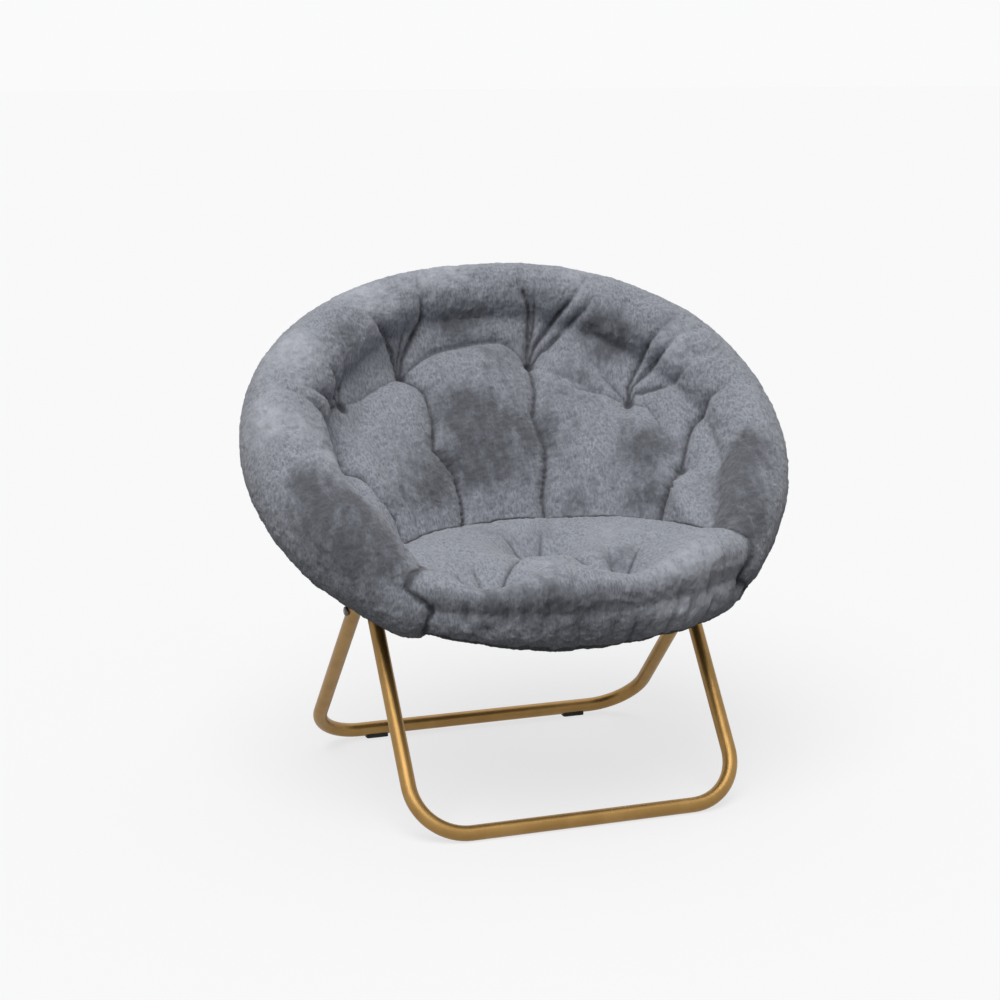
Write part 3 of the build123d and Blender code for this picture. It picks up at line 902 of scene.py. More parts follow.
        found: list[Callable[[float], np.ndarray]] = [
            lambda turn, scale=scale, extra=extra: SEAT_LINE.point(
                turn, scale, self.bottom_height + extra)
            for scale, extra in ((0.02, 0.0), (0.35, 0.0), (0.7, 0.004), (0.95, 0.020))
        ]
        for share in (0.25, 0.5, 0.75):
            found.append(lambda turn, s=share: (1 - s) * SEAT_LINE.point(
                turn, 1.05, self.bottom_height + 0.034) + s * under_valley(turn))
        found.append(under_valley)
        for degrees in range(-115, 186, 10):
            found.append(lambda turn, d=degrees: self.bolster_point(turn, math.radians(d)))
        for share in (0.0, 0.12, 0.26, 0.4, 0.55, 0.7, 0.84, 0.94):
            found.append(lambda turn, s=share: self.panel(turn, s))
        for scale, drop in ((1.0, 0.004), (0.93, 0.024), (0.5, 0.032), (0.02, 0.032)):
            found.append(lambda turn, scale=scale, drop=drop: SEAT_LINE.point(
                turn, scale, SEAT_LINE.height - drop))
        return found

    def features(self, tree: BVHTree) -> list[Groove | Tuft]:
        """Every stitched point, seam and fold, laid on the plain skin.

        Args:
            tree: The plain skin.

        Returns:
            The seams and stitched points.
        """
        found: list[Groove | Tuft] = []
        for angle, place in self.tufts:
            point = tree.find_nearest(Vector(self.surface(math.radians(angle), place)))[0]
            found.append(Tuft(np.array(point), self.tuft_depth, 0.018))
        for seam in self.seams:
            stops = []
            for (turn, place), (turn_next, place_next) in zip(seam.stops, seam.stops[1:]):
                for step in np.linspace(0.0, 1.0, 5)[:-1]:
                    stops.append((turn + (turn_next - turn) * step,
                                  place + (place_next - place) * step))
            stops.append(seam.stops[-1])
            path = np.array([
                tree.find_nearest(Vector(self.surface(math.radians(turn), place)))[0]
                for turn, place in stops
            ])
            found.append(Groove(path, seam.depth, seam.width, 0.0, seam.fade))
            if seam.soft > 0:
                found.append(Groove(path, seam.soft, 0.024, 0.0, seam.fade))
        return found

    def clear_legs(self, points: np.ndarray, inside: np.ndarray) -> None:
        """Lifts the seen side clear of the leg tubes that run up behind the panels.

        Args:
            points: Vertex positions, which are changed.
            inside: 1 on the seen side, 0 on the underside.
        """
        across, slope, rise = HOOP.to_hoop(points)
        aside = np.abs(np.abs(across) - self.leg_across)
        end_slope, end_rise = self.leg_end
        tube = end_rise - (end_slope - slope) * self.leg_fall
        need = tube + self.leg_room - 0.9 * np.maximum(aside - self.leg_half_width, 0.0)
        low, high = self.leg_reach
        beside = (slope < high) & (slope > low) & (inside > 0.5)
        lift = np.where(beside, need - rise, 0.0)
        lift = smoothed(self.obj, np.maximum(lift, 0.0)[:, None], 10)
        points += 1.15 * lift * HOOP.rise

    def build(self) -> bpy.types.Object:
        """Builds the wrap: plain skin, even mesh, stitching, cloth, fine mesh.

        Returns:
            The finished wrap.
        """
        places = self.stations()
        bm = loft_closed(200, len(places), lambda turn, index: places[index](turn))
        obj = new_object(bm, self.name)
        remesh(obj, self.voxel)
        points, facing = coordinates(obj), normals(obj)
        tree = BVHTree.FromObject(obj, bpy.context.evaluated_depsgraph_get())
        towards = HOOP.to_world(0.0, 0.03, 0.26) - points
        towards /= np.linalg.norm(towards, axis=1, keepdims=True)
        inside = smooth_step(np.einsum("ij,ij->i", facing, towards), -0.45, 0.10)
        keep_rest(obj, points)
        features = self.features(tree)
        pull = deepest(features, points) * inside
        direction = smoothed(obj, facing, 30)
        direction /= np.linalg.norm(direction, axis=1, keepdims=True)
        points -= direction * pull[:, None]
        set_coordinates(obj, points)
        held = np.clip(pull / 0.008, 0.0, 1.0)
        relax_cloth(obj, np.maximum(held, 1.0 - inside), 3.0, 14, 0.010)
        lean(obj, SEAT_LINE.roll)
        self.obj = obj
        points = coordinates(obj)
        self.clear_legs(points, inside)
        set_coordinates(obj, points)
        subdivide(obj)
        # Darker and lighter pile patches, with painted shade on the panels and painted light on the
        # bolster's tops.
        keep_ruffles_and_painted_light(obj, [
            Ruffle(self.surface(math.radians(turn), place), size, strength)
            for turn, place, size, strength in self.ruffles_and_painted_light
        ])
        keep_values(obj, "lined", smooth_step(-normals(obj) @ HOOP.rise, 0.55, 0.68))
        fine_creases(obj, features)
        return obj


# ------------------------------------------------------------------ the seat cushion
@dataclass
class SeatCushion:
    """The level cushion that passes over the front of the hoop."""

    ring_radius: float = 0.3594
    lip_radius: float = 0.049
    lip_height: float = 0.320
    lip_thinning: tuple[float, float] = (0.019, 0.002)
    lip_lift: tuple[float, float] = (0.013, 0.008)
    corner: float = math.radians(44.0)
    edge_radius: float = 0.027
    edge_height: float = 0.325
    top_height: float = 0.344
    bottom_height: float = 0.300
    roll: float = 0.020
    lobe: float = 0.030
    voxel: float = 0.005
    tufts: tuple[tuple[float, float], ...] = ((-0.124, -0.248), (0.052, -0.262), (0.008, -0.080))
    ruffles_and_painted_light: tuple[tuple[float, float, float, float, float], ...] = (
        # place in the row frame, size, strength, which lightens below zero
        (-0.150, -0.320, 0.340, 0.045, 0.7), (-0.080, -0.350, 0.340, 0.050, 0.7),
        (-0.010, -0.360, 0.330, 0.040, 0.5), (0.050, -0.360, 0.320, 0.030, 0.3),
        (0.085, -0.200, 0.360, 0.040, 0.8), (-0.100, -0.240, 0.355, 0.035, 0.5),
        # Lighter patches: painted light on the lip's right, and two lighter patches on the top.
        (0.110, -0.350, 0.310, 0.060, -0.8), (0.180, -0.300, 0.320, 0.060, -0.8),
        (-0.030, -0.250, 0.365, 0.060, -0.5), (0.120, -0.100, 0.360, 0.050, -0.4),
    )
    name: str = "seat_cushion"
    obj: bpy.types.Object | None = field(default=None, init=False)

    def side(self, angle: float) -> Side:
        """The side of the chair on which an angle of the hoop lies."""
        return Side.LEFT if angle < 0 else Side.RIGHT

    def lip(self, angle: float) -> np.ndarray:
        """Centre of the front lip's round section at an angle on the hoop.

        Args:
            angle: Angle on the hoop, in radians.

        Returns:
            The centre.
        """
        spread = math.radians(40.0) * angle / self.corner
        point = HOOP.to_world(
            self.ring_radius * math.sin(spread), -self.ring_radius * math.cos(spread), 0.0
        )
        lift = self.lip_lift[self.side(angle).value]
        point[2] = self.lip_height + lift * abs(angle / self.corner) ** 2.4
        return point

    def outline(self, turn: float) -> tuple[np.ndarray, float]:
        """Centre of the rounded edge's section at a turn, and its radius.

        Args:
            turn: Turn about the middle, in radians.

        Returns:
            The centre and the radius.
        """
        angle = math.atan2(math.sin(turn), math.cos(turn))
        thinning = self.lip_thinning[self.side(angle).value]
        if abs(angle) < self.corner:
            return self.lip(angle), self.lip_radius - thinning * abs(angle / self.corner) ** 2
        side = math.copysign(1.0, angle)
        share = (abs(angle) - self.corner) / (math.pi - self.corner)
        fade = min(share / 0.30, 1.0)
        fade = fade * fade * (3.0 - 2.0 * fade)
        line = SEAT_LINE.point(side * (self.corner + share * (math.pi - self.corner)), 0.97,
                               self.edge_height)
        corner = self.lip(side * self.corner)
        radius = self.lip_radius - thinning
        return (corner + (line - corner) * fade, radius + (self.edge_radius - radius) * fade)

    def place(self, turn: float, station: int) -> np.ndarray:
        """Point of the skin at a turn, from the top's middle over the edge to the bottom's.

        Args:
            turn: Turn about the middle, in radians.
            station: Number of the loop, from 0 to 28.

        Returns:
            The point.
        """
        centre, radius = self.outline(turn)
        middle = np.array([0.0, -0.15, 0.0])
        outward = np.array([centre[0] - middle[0], centre[1] - middle[1], 0.0])
        outward /= np.linalg.norm(outward)
        upright = np.array([0.0, 0.0, 1.0])
        if 9 <= station < 23:
            angle = math.pi / 2 - math.pi * (station - 9) / 13
            return centre + radius * (math.cos(angle) * outward + math.sin(angle) * upright)
        if station < 9:
            share, edge, height = station / 9, centre + radius * upright, self.top_height
        else:
            share, edge, height = (28 - station) / 6, centre - radius * upright, self.bottom_height
        share = 0.02 + 0.98 * share
        point = middle + (edge - middle) * share
        point[2] = height + (edge[2] - height) * share ** 2
        return point

    def features(self, tree: BVHTree) -> list[Groove | Tuft]:
        """Stitched points of the seat, with the creases between them and the lip's folds.

        Args:
            tree: The plain skin.

        Returns:
            The creases and stitched points.
        """
        def snap(points: list[np.ndarray]) -> np.ndarray:
            """Points moved to the nearest place on the skin."""
            return np.array([tree.find_nearest(Vector(point))[0] for point in points])

        def top_run(start: tuple[float, float], end: tuple[float, float]) -> np.ndarray:
            """Straight run over the top between two places."""
            return snap([
                np.array([*(np.array(start) * (1 - share) + np.array(end) * share), 0.37])
                for share in np.linspace(0, 1, 8)
            ])

        left, right, rear = self.tufts
        found: list[Groove | Tuft] = [
            Tuft(top_run(tuft, tuft)[0], 0.052, 0.026) for tuft in self.tufts
        ]
        for start, end, depth in (
            (left, right, 0.008), (left, rear, 0.013), (right, rear, 0.013),
            (left, (-0.17, -0.17), 0.013), (left, (-0.13, -0.12), 0.011),
            (right, (0.15, -0.17), 0.013), (right, (0.10, -0.12), 0.010),
            (rear, (-0.04, 0.02), 0.012), (rear, (0.05, 0.02), 0.011),
            (left, (-0.14, -0.31), 0.010), (right, (0.10, -0.32), 0.010),
            (left, (-0.07, -0.32), 0.008), (right, (0.03, -0.33), 0.008),
        ):
            found.append(Groove(top_run(start, end), depth, 0.010, 0.0, 0.5))
        chance = random.Random(SEED)
        for index in range(26):
            angle = self.corner * (2 * (index + chance.uniform(0.1, 0.9)) / 26 - 1)
            centre, radius = self.outline(angle)
            outward = centre - np.array([0.0, -0.15, centre[2]])
            outward /= np.linalg.norm(outward)
            begin = math.radians(chance.uniform(-10, 60))
            reach = math.radians(chance.uniform(50, 110))
            path = [
                centre + radius * (math.cos(begin - reach * share) * outward
                                   + math.sin(begin - reach * share) * np.array([0, 0, 1.0]))
                for share in np.linspace(0, 1, 7)
            ]
            found.append(Groove(snap(path), chance.uniform(0.004, 0.010), 0.007, 0.4, 0.5))
        return found

    def build(self) -> bpy.types.Object:
        """Builds the seat cushion: plain skin, even mesh, stitching, cloth, fine mesh.

        Returns:
            The finished seat cushion.
        """
        bm = loft_closed(160, 29, self.place)
        obj = new_object(bm, self.name)
        remesh(obj, self.voxel)
        points, facing = coordinates(obj), normals(obj)
        tree = BVHTree.FromObject(obj, bpy.context.evaluated_depsgraph_get())
        upper = smooth_step(points[:, 2], self.bottom_height - 0.04, self.bottom_height)
        keep_rest(obj, points)
        features = self.features(tree)
        pull = deepest(features, points) * upper
        nearest = np.full(len(points), 1.0)
        for across, along in self.tufts:
            nearest = np.minimum(nearest, np.hypot(points[:, 0] - across, points[:, 1] - along))
        level = smooth_step(facing[:, 2], 0.2, 0.9)
        swell = self.lobe * level * (1.0 - np.exp(-((nearest / 0.055) ** 2)))
        direction = smoothed(obj, facing, 20)
        direction /= np.linalg.norm(direction, axis=1, keepdims=True)
        points += direction * (swell - pull)[:, None]
        set_coordinates(obj, points)
        relax_cloth(obj, np.clip(pull / 0.008, 0.0, 1.0), 3.0, 14, 0.010)
        lean(obj, self.roll)
        subdivide(obj)
        # Darker and lighter pile patches, with painted light on the lip's right.
        keep_ruffles_and_painted_light(obj, [
            Ruffle(np.array(place), size, strength) for *place, size, strength in self.ruffles_and_painted_light
        ])
        keep_values(obj, "lined", smooth_step(-normals(obj)[:, 2], 0.66, 0.78))
        fine_creases(obj, features)
        self.obj = obj
        return obj


# ------------------------------------------------------------------ materials
def new_material(name: str) -> tuple[bpy.types.Material, bpy.types.NodeTree, bpy.types.Node]:
    """An empty node material with its Principled shader.

    Args:
        name: Name of the finish.

    Returns:
        The material, its nodes and its shader.
    """
    material = bpy.data.materials.new(name)
    material.use_nodes = True
    tree = material.node_tree
    shader = tree.nodes["Principled BSDF"]
    return material, tree, shader


def group_socket(
    group: bpy.types.NodeTree, name: str, kind: str, inward: bool, value: object = None
) -> None:
    """Adds a named socket to a node group.

    Args:
        group: The group.
        name: Name of the socket.
        kind: Type of the socket.
        inward: Whether it is an input.
        value: Its default, if it has one.
    """
    socket = group.interface.new_socket(
        name, in_out="INPUT" if inward else "OUTPUT", socket_type=kind
    )
    if value is not None:
        socket.default_value = value


def mix_node(
    tree: bpy.types.NodeTree, first: object, second: object, factor: object
) -> bpy.types.NodeSocket:
    """Mixes two colours, each given as a socket or as a colour.

    Args:
        tree: The material's nodes.
        first: Colour at factor 0.
        second: Colour at factor 1.
        factor: Share of the second.

    Returns:
        The mixed colour.
    """
    node = tree.nodes.new("ShaderNodeMix")
    node.data_type = "RGBA"
    for index, value in ((6, first), (7, second), (0, factor)):
        socket = node.inputs[index]
        if isinstance(value, bpy.types.NodeSocket):
            tree.links.new(value, socket)
        else:
            socket.default_value = value
    return node.outputs[2]


def noise_node(
    tree: bpy.types.NodeTree, vector: bpy.types.NodeSocket, scale: float, detail: float = 2.0,
    roughness: float = 0.5, distortion: float = 0.0,
) -> bpy.types.NodeSocket:
    """Noise value on given coordinates.

    Args:
        tree: The material's nodes.
        vector: Coordinates.
        scale: Scale of the noise.
        detail: Number of finer layers.
        roughness: Strength of the finer layers.
        distortion: How far it is bent.

    Returns:
        The noise, from 0 to 1.
    """
    node = tree.nodes.new("ShaderNodeTexNoise")
    node.inputs["Scale"].default_value = scale
    node.inputs["Detail"].default_value = detail
    node.inputs["Roughness"].default_value = roughness
    node.inputs["Distortion"].default_value = distortion
    tree.links.new(vector, node.inputs["Vector"])
    return node.outputs["Fac"]


def ramp_node(
    tree: bpy.types.NodeTree, value: bpy.types.NodeSocket, low: float, high: float,
    top: float = 1.0,
) -> bpy.types.NodeSocket:
    """Stretches a value so that low becomes 0 and high becomes top.

    Args:
        tree: The material's nodes.
        value: The value.
        low: Value that becomes 0.
        high: Value that becomes top.
        top: Largest result.

    Returns:
        The stretched value.
    """
    node = tree.nodes.new("ShaderNodeMapRange")
    node.interpolation_type = "SMOOTHSTEP"
    node.inputs["From Min"].default_value = low
    node.inputs["From Max"].default_value = high
    node.inputs["To Max"].default_value = top
    tree.links.new(value, node.inputs["Value"])
    return node.outputs["Result"]


def blend_node(
    tree: bpy.types.NodeTree, how: Join, first: bpy.types.NodeSocket,
    second: bpy.types.NodeSocket,
) -> bpy.types.NodeSocket:
    """Joins two values with a Math node.

    Args:
        tree: The material's nodes.
        how: The operation.
        first: First value.
        second: Second value.

    Returns:
        The joined value.
    """
    node = tree.nodes.new("ShaderNodeMath")
    node.operation = how.value
    tree.links.new(first, node.inputs[0])
    tree.links.new(second, node.inputs[1])
    return node.outputs[0]


def bump_node(
    tree: bpy.types.NodeTree, height: bpy.types.NodeSocket, distance: float, strength: float,
    below: bpy.types.NodeSocket | None = None,
) -> bpy.types.NodeSocket:
    """Normal bent by a height, on top of another bump's normal if one is given.

    Args:
        tree: The material's nodes.
        height: The height.
        distance: Height in metres of a full step.
        strength: Strength of the bump.
        below: Normal that it is laid on.

    Returns:
        The bent normal.
    """
    node = tree.nodes.new("ShaderNodeBump")
    node.inputs["Distance"].default_value = distance
    node.inputs["Strength"].default_value = strength
    tree.links.new(height, node.inputs["Height"])
    if below is not None:
        tree.links.new(below, node.inputs["Normal"])
    return node.outputs["Normal"]


def object_coordinates(
    tree: bpy.types.NodeTree, scale: Sequence[float] = (1, 1, 1),
    turn: Sequence[float] = (0, 0, 0), shift: Sequence[float] = (0, 0, 0),
) -> bpy.types.NodeSocket:
    """Object coordinates, stretched, turned and shifted by a Mapping node.

    Args:
        tree: The material's nodes.
        scale: Stretch along each axis.
        turn: Turn about each axis, in radians.
        shift: Shift along each axis.

    Returns:
        The coordinates.
    """
    source = tree.nodes.new("ShaderNodeTexCoord")
    mapping = tree.nodes.new("ShaderNodeMapping")
    mapping.inputs["Location"].default_value = shift
    mapping.inputs["Scale"].default_value = scale
    mapping.inputs["Rotation"].default_value = turn
    tree.links.new(source.outputs["Object"], mapping.inputs["Vector"])
    return mapping.outputs["Vector"]


def clouded_group() -> bpy.types.NodeTree:
    """Shared effect of the hard finishes: a colour clouded between two, and a fine grain.

    Returns:
        The node group, made on its first call.
    """
    group = bpy.data.node_groups.get("clouded_finish")
    if group is not None:
        return group
    group = bpy.data.node_groups.new("clouded_finish", "ShaderNodeTree")
    for name, kind, value in (
        ("Plain", "NodeSocketColor", (0.5, 0.5, 0.5, 1)),
        ("Worn", "NodeSocketColor", (0.6, 0.6, 0.6, 1)),
        ("Cloud Scale", "NodeSocketFloat", 40.0),
        ("Grain Scale", "NodeSocketFloat", 600.0),
    ):
        group_socket(group, name, kind, True, value)
    group_socket(group, "Color", "NodeSocketColor", False)
    group_socket(group, "Grain", "NodeSocketFloat", False)
    given = group.nodes.new("NodeGroupInput")
    result = group.nodes.new("NodeGroupOutput")
    place = object_coordinates(group)
    cloud = noise_node(group, place, 40.0, 3.0, 0.6)
    grain = noise_node(group, place, 600.0, 2.0, 0.6)
    group.links.new(given.outputs["Cloud Scale"], cloud.node.inputs["Scale"])
    group.links.new(given.outputs["Grain Scale"], grain.node.inputs["Scale"])
    share = ramp_node(group, cloud, 0.36, 0.68)
    colour = mix_node(group, given.outputs["Plain"], given.outputs["Worn"], share)
    group.links.new(colour, result.inputs["Color"])
    group.links.new(grain, result.inputs["Grain"])
    return group


def clouded_node(
    tree: bpy.types.NodeTree, plain: Sequence[float], worn: Sequence[float],
    cloud_scale: float, grain_scale: float,
) -> bpy.types.Node:
    """Adds the shared clouded effect to a material.

    Args:
        tree: The material's nodes.
        plain: Main colour.
        worn: Colour of the worn or dusty clouds.
        cloud_scale: Scale of the clouds.
        grain_scale: Scale of the grain.

    Returns:
        The group's node, with outputs Color and Grain.
    """
    node = tree.nodes.new("ShaderNodeGroup")
    node.node_tree = clouded_group()
    node.inputs["Plain"].default_value = plain
    node.inputs["Worn"].default_value = worn
    node.inputs["Cloud Scale"].default_value = cloud_scale
    node.inputs["Grain Scale"].default_value = grain_scale
    return node


def weave_height(tree: bpy.types.NodeTree, scale: float) -> bpy.types.NodeSocket:
    """Height of a plain weave: the larger of two crossing sets of threads.

    Args:
        tree: The material's nodes.
        scale: Threads per metre, roughly.

    Returns:
        The height.
    """
    threads = []
    for direction in ("X", "Y"):
        wave = tree.nodes.new("ShaderNodeTexWave")
        wave.bands_direction = direction
        wave.inputs["Scale"].default_value = scale
        wave.inputs["Distortion"].default_value = 0.6
        tree.links.new(object_coordinates(tree, turn=(0.0, 0.0, 0.3)), wave.inputs["Vector"])
        threads.append(wave.outputs["Fac"])
    return blend_node(tree, Join.LARGER, *threads)


@dataclass(frozen=True)
class PileFinish:
    """Short thick pile: lighter where combed down and darker where it stands up, with painted light
    on the tops, painted shade on the panels and painted shade in the creases.
    """

    light: tuple[float, float, float, float] = (0.42, 0.44, 0.49, 1)
    middle: tuple[float, float, float, float] = (0.225, 0.236, 0.268, 1)
    dark: tuple[float, float, float, float] = (0.092, 0.096, 0.110, 1)
    # Pale pile colour, for pile combed down and for painted light on the tops and the lip.
    flat_pile_and_painted_light: tuple[float, float, float, float] = (0.60, 0.62, 0.68, 1)
    lining: tuple[float, float, float, float] = (0.105, 0.110, 0.122, 1)
    patch_scale: float = 6.0
    fibre_scale: float = 300.0

    def material(self) -> bpy.types.Material:
        """Builds the pile's material.

        Returns:
            The material.
        """
        material, tree, shader = new_material("blue_grey_pile")
        combed = object_coordinates(tree, (1.0, 0.6, 0.34), (0.5, 0.3, 0.4))
        fibre = noise_node(tree, combed, self.fibre_scale, 4.0, 0.75)
        strands = ramp_node(tree, fibre, 0.34, 0.66)
        wave = noise_node(tree, combed, 110.0, 3.0, 0.7)
        drift = object_coordinates(tree, (1.0, 1.0, 1.3), (0.2, 0.5, 0.0), (0.37, 0.21, 0.08))
        patches = ramp_node(tree, noise_node(tree, drift, self.patch_scale, 4.0, 0.62), 0.52, 0.95)
        broken = ramp_node(tree, blend_node(tree, Join.ADD, patches, fibre), 0.45, 1.65)
        base = mix_node(tree, self.middle, self.light, strands)
        # Pile patches: stood-up pile and pile combed down, with painted shade on the panels and
        # painted light on the tops and the lip.
        ruffle_and_painted_light = tree.nodes.new("ShaderNodeAttribute")
        ruffle_and_painted_light.attribute_name = "ruffle_and_painted_light"
        streaks = noise_node(tree, combed, 62.0, 5.0, 0.72)
        edge = blend_node(tree, Join.ADD, ruffle_and_painted_light.outputs["Fac"], streaks)
        edge = blend_node(tree, Join.ADD, edge, streaks)
        edge = blend_node(tree, Join.ADD, edge, fibre)
        # The darker mix is partly painted shade, and the lighter mix, towards the pale colour,
        # partly painted light.
        stood_up_and_painted_shade = ramp_node(tree, edge, 1.60, 2.70, 0.86)
        flattened_and_painted_light = ramp_node(tree, edge, 1.42, 0.35, 0.7)
        base = mix_node(tree, base, self.flat_pile_and_painted_light, flattened_and_painted_light)
        base = mix_node(tree, base, self.dark, stood_up_and_painted_shade)
        shade = mix_node(tree, base, self.dark, broken)
        # Painted shade: the pile darkens along creases, seams, stitched points and where the
        # cushions meet.
        crease = tree.nodes.new("ShaderNodeAttribute")
        crease.attribute_name = "crease"
        deep = ramp_node(tree, crease.outputs["Fac"], 0.15, 0.95)
        lined = tree.nodes.new("ShaderNodeAttribute")
        lined.attribute_name = "lined"
        under = ramp_node(tree, lined.outputs["Fac"], 0.4, 0.6)
        pile = mix_node(tree, shade, self.dark, deep)
        tree.links.new(mix_node(tree, pile, self.lining, under), shader.inputs["Base Color"])
        shader.inputs["Roughness"].default_value = 0.95
        shader.inputs["Specular IOR Level"].default_value = 0.1
        shader.inputs["Sheen Weight"].default_value = 0.25
        shader.inputs["Sheen Roughness"].default_value = 0.5
        tufted = bump_node(tree, fibre, 0.0025, 0.8, bump_node(tree, wave, 0.004, 0.5))
        woven = bump_node(tree, weave_height(tree, 260.0), 0.0006, 0.6)
        facing = mix_node(tree, tufted, woven, under)
        tree.links.new(facing, shader.inputs["Normal"])
        return material


@dataclass(frozen=True)
class TubeFinish:
    """Satin antique-gold paint on steel tube."""

    base: tuple[float, float, float, float] = (0.40, 0.235, 0.075, 1)
    deep: tuple[float, float, float, float] = (0.34, 0.195, 0.058, 1)

    def material(self) -> bpy.types.Material:
        """Builds the tube paint's material.

        Returns:
            The material.
        """
        material, tree, shader = new_material("antique_gold_paint")
        clouds = clouded_node(tree, self.deep, self.base, 24.0, 900.0)
        tree.links.new(clouds.outputs["Color"], shader.inputs["Base Color"])
        shader.inputs["Metallic"].default_value = 0.7
        rough = tree.nodes.new("ShaderNodeMapRange")
        rough.inputs["To Min"].default_value = 0.34
        rough.inputs["To Max"].default_value = 0.44
        tree.links.new(clouds.outputs["Grain"], rough.inputs["Value"])
        tree.links.new(rough.outputs["Result"], shader.inputs["Roughness"])
        normal = bump_node(tree, clouds.outputs["Grain"], 0.0001, 0.4)
        tree.links.new(normal, shader.inputs["Normal"])
        return material


@dataclass(frozen=True)
class MouldedFinish:
    """Moulded or plated small parts with a fine grain."""

    name: str
    base: tuple[float, float, float, float]
    worn: tuple[float, float, float, float]
    roughness: float
    metallic: float
    grain_scale: float

    def material(self) -> bpy.types.Material:
        """Builds the finish's material.

        Returns:
            The material.
        """
        material, tree, shader = new_material(self.name)
        clouds = clouded_node(tree, self.base, self.worn, 60.0, self.grain_scale)
        tree.links.new(clouds.outputs["Color"], shader.inputs["Base Color"])
        shader.inputs["Roughness"].default_value = self.roughness
        shader.inputs["Metallic"].default_value = self.metallic
        normal = bump_node(tree, clouds.outputs["Grain"], 0.0002, 0.5)
        tree.links.new(normal, shader.inputs["Normal"])
        return material


# ------------------------------------------------------------------ metal and plastic pieces
@dataclass
class Hardware:
    """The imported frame, hinges and fasteners, which only get their finishes."""

    tubes: tuple[str, ...] = (
        "front_foot_frame", "rear_foot_frame", "rear_hoop_arc", "front_hoop_arc",
        "rear_leg_brackets", "front_leg_brackets", "rear_hinge_plates", "front_hinge_plates",
    )
    plated: tuple[str, ...] = (
        "cross_pivot_bolts", "cross_pivot_nuts", "rear_leg_rivets", "front_slot_pins",
        "hoop_hinge_rivets",
    )
    plastic: tuple[str, ...] = (
        "hoop_hinge_washers", "cross_pivot_spacers", "rear_arc_plugs", "front_arc_plugs",
    )
    rubber: tuple[str, ...] = ("rubber_feet",)
    cloth: tuple[str, ...] = ("rear_hoop_sleeve", "front_hoop_sleeve")

    def dress(self) -> None:
        """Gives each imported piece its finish."""
        gold = TubeFinish().material()
        plated = MouldedFinish(
            "dark_plating", (0.06, 0.055, 0.05, 1), (0.12, 0.11, 0.10, 1), 0.35, 0.9, 700.0
        ).material()
        plastic = MouldedFinish(
            "black_plastic", (0.02, 0.02, 0.021, 1), (0.04, 0.04, 0.04, 1), 0.5, 0.0, 500.0
        ).material()
        rubber = MouldedFinish(
            "black_rubber", (0.018, 0.018, 0.018, 1), (0.05, 0.05, 0.05, 1), 0.75, 0.0, 350.0
        ).material()
        lining = MouldedFinish(
            "grey_lining", (0.17, 0.18, 0.20, 1), (0.22, 0.23, 0.25, 1), 0.9, 0.0, 900.0
        ).material()
        for names, material in (
            (self.tubes, gold), (self.plated, plated), (self.plastic, plastic),
            (self.rubber, rubber), (self.cloth, lining),
        ):
            for name in names:
                obj = frame["nodes"][name]
                obj.data.materials.clear()
                obj.data.materials.append(material)
                LOG.info("dressed %s", name)


# ------------------------------------------------------------------ stage
@dataclass(frozen=True)
class SoftLight:
    """A far, wide and soft light.

    Attributes:
        name: Name of the lamp.
        towards: Direction in which it is seen from the chair.
        spread: Its width as seen from the chair, in degrees.
        strength: Its strength in watts per square metre.
    """

    name: str
    towards: tuple[float, float, float]
    spread: float
    strength: float

    def build(self) -> None:
        """Adds the lamp."""
        data = bpy.data.lights.new(self.name, "SUN")
        data.angle = math.radians(self.spread)
        data.energy = self.strength
        lamp = bpy.data.objects.new(self.name, data)
        bpy.context.scene.collection.objects.link(lamp)
        lamp.location = Vector(self.towards) * 3.0
        lamp.rotation_euler = Vector(self.towards).to_track_quat("Z", "Y").to_euler()


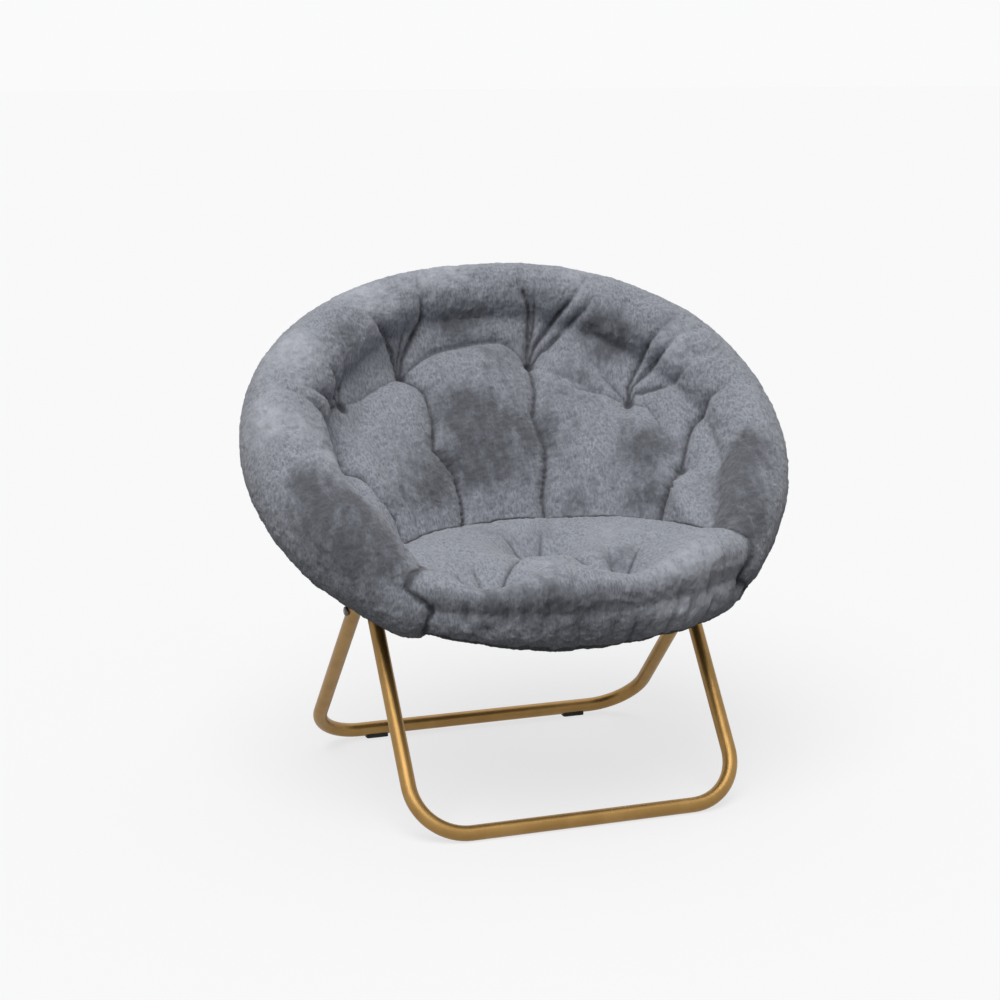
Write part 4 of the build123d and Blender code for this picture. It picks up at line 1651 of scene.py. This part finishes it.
@dataclass(frozen=True)
class Studio:
    """Pale floor, soft light and the camera at the photograph's angle."""

    camera_azimuth: float = -19.3
    camera_elevation: float = 12.1
    camera_distance: float = 3.100
    target: tuple[float, float, float] = (-0.0432, -0.0506, 0.4309)
    lens: float = 74.96
    floor_seen: tuple[float, float, float, float] = (0.24, 0.24, 0.24, 1)
    floor_glow: tuple[float, float, float, float] = (0.705, 0.705, 0.71, 1)
    floor_bounce: tuple[float, float, float, float] = (0.13, 0.13, 0.13, 1)
    background: tuple[float, float, float, float] = (0.955, 0.957, 0.962, 1)
    surround: tuple[float, float, float, float] = (0.94, 0.96, 1.0, 1)
    surround_strength: float = 0.19
    lights: tuple[SoftLight, ...] = (
        SoftLight("key_light", (-0.30, -0.40, 1.0), 50.0, 2.1),
        SoftLight("top_light", (0.15, 0.35, 1.0), 70.0, 0.75),
    )

    def build(self) -> None:
        """Builds floor, surroundings, lamps and camera."""
        self.build_floor()
        self.build_world()
        for light in self.lights:
            light.build()
        self.build_camera()

    def seen_directly(self, tree: bpy.types.NodeTree) -> bpy.types.NodeSocket:
        """1 for what the camera sees, directly, mirrored in metal or through glass.

        Args:
            tree: The material's or the world's nodes.

        Returns:
            The mask.
        """
        path = tree.nodes.new("ShaderNodeLightPath")
        mirrored = blend_node(
            tree, Join.LARGER, path.outputs["Is Glossy Ray"], path.outputs["Is Transmission Ray"]
        )
        return blend_node(tree, Join.LARGER, path.outputs["Is Camera Ray"], mirrored)

    def build_floor(self) -> None:
        """A wide plane, white to the camera and duller in what it throws back."""
        bm = bmesh.new()
        bmesh.ops.create_grid(bm, x_segments=1, y_segments=1, size=60.0)
        floor = new_object(bm, "studio_floor")
        material, tree, shader = new_material("studio_white")
        direct = self.seen_directly(tree)
        seen = mix_node(tree, self.floor_bounce, self.floor_seen, direct)
        tree.links.new(seen, shader.inputs["Base Color"])
        shader.inputs["Roughness"].default_value = 1.0
        shader.inputs["Specular IOR Level"].default_value = 0.0
        dark = (0.0, 0.0, 0.0, 1.0)
        glow = mix_node(tree, dark, self.floor_glow, direct)
        tree.links.new(glow, shader.inputs["Emission Color"])
        shader.inputs["Emission Strength"].default_value = 1.0
        floor.data.materials.append(material)

    def build_world(self) -> None:
        """Even soft light, with a white background for the camera."""
        world = bpy.data.worlds.new("studio_world")
        bpy.context.scene.world = world
        world.use_nodes = True
        tree = world.node_tree
        tree.nodes.clear()
        light = tree.nodes.new("ShaderNodeBackground")
        light.inputs["Color"].default_value = self.surround
        light.inputs["Strength"].default_value = self.surround_strength
        seen = tree.nodes.new("ShaderNodeBackground")
        seen.inputs["Color"].default_value = self.background
        mix = tree.nodes.new("ShaderNodeMixShader")
        output = tree.nodes.new("ShaderNodeOutputWorld")
        tree.links.new(self.seen_directly(tree), mix.inputs[0])
        tree.links.new(light.outputs[0], mix.inputs[1])
        tree.links.new(seen.outputs[0], mix.inputs[2])
        tree.links.new(mix.outputs[0], output.inputs["Surface"])

    def build_camera(self) -> None:
        """The camera, on a sphere round its target."""
        azimuth, elevation = math.radians(self.camera_azimuth), math.radians(self.camera_elevation)
        back = Vector((
            math.sin(azimuth) * math.cos(elevation),
            -math.cos(azimuth) * math.cos(elevation),
            math.sin(elevation),
        ))
        data = bpy.data.cameras.new("camera")
        data.lens = self.lens
        data.sensor_width = 36.0
        data.clip_end = 200.0
        camera = bpy.data.objects.new("camera", data)
        bpy.context.scene.collection.objects.link(camera)
        camera.location = Vector(self.target) + back * self.camera_distance
        camera.rotation_euler = back.to_track_quat("Z", "Y").to_euler()
        bpy.context.scene.camera = camera


def main() -> None:
    """Builds the chair's looks in order."""
    logging.basicConfig(level=logging.INFO, format="%(message)s")
    bpy.context.scene.view_settings.view_transform = "Standard"
    pile = PileFinish().material()
    Hardware().dress()

    wrap, seat = WrapCushion(), SeatCushion()
    fold = Vector(next(j for j in frame["joints"] if j["name"] == "hoop_hinge")["pos_m"])
    behind = fold + Vector(HOOP.slope) * FOLD_REACH
    ahead = fold - Vector(HOOP.slope) * FOLD_REACH
    for cushion, nodes, fill in (
        (wrap, ("back_pad", "side_bolsters"), 0.75), (seat, ("seat_pad",), 0.7),
    ):
        obj = cushion.build()
        obj.data.materials.append(pile)
        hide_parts(*nodes)
        LOG.info("built %s: %d faces", obj.name, len(obj.data.polygons))
    shade_meeting(seat.obj, wrap.obj, 0.005)
    shade_meeting(wrap.obj, seat.obj, 0.004)
    for cushion in (wrap, seat):
        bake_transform(cushion.obj)

    Studio().build()


if __name__ == "__main__":
    main()
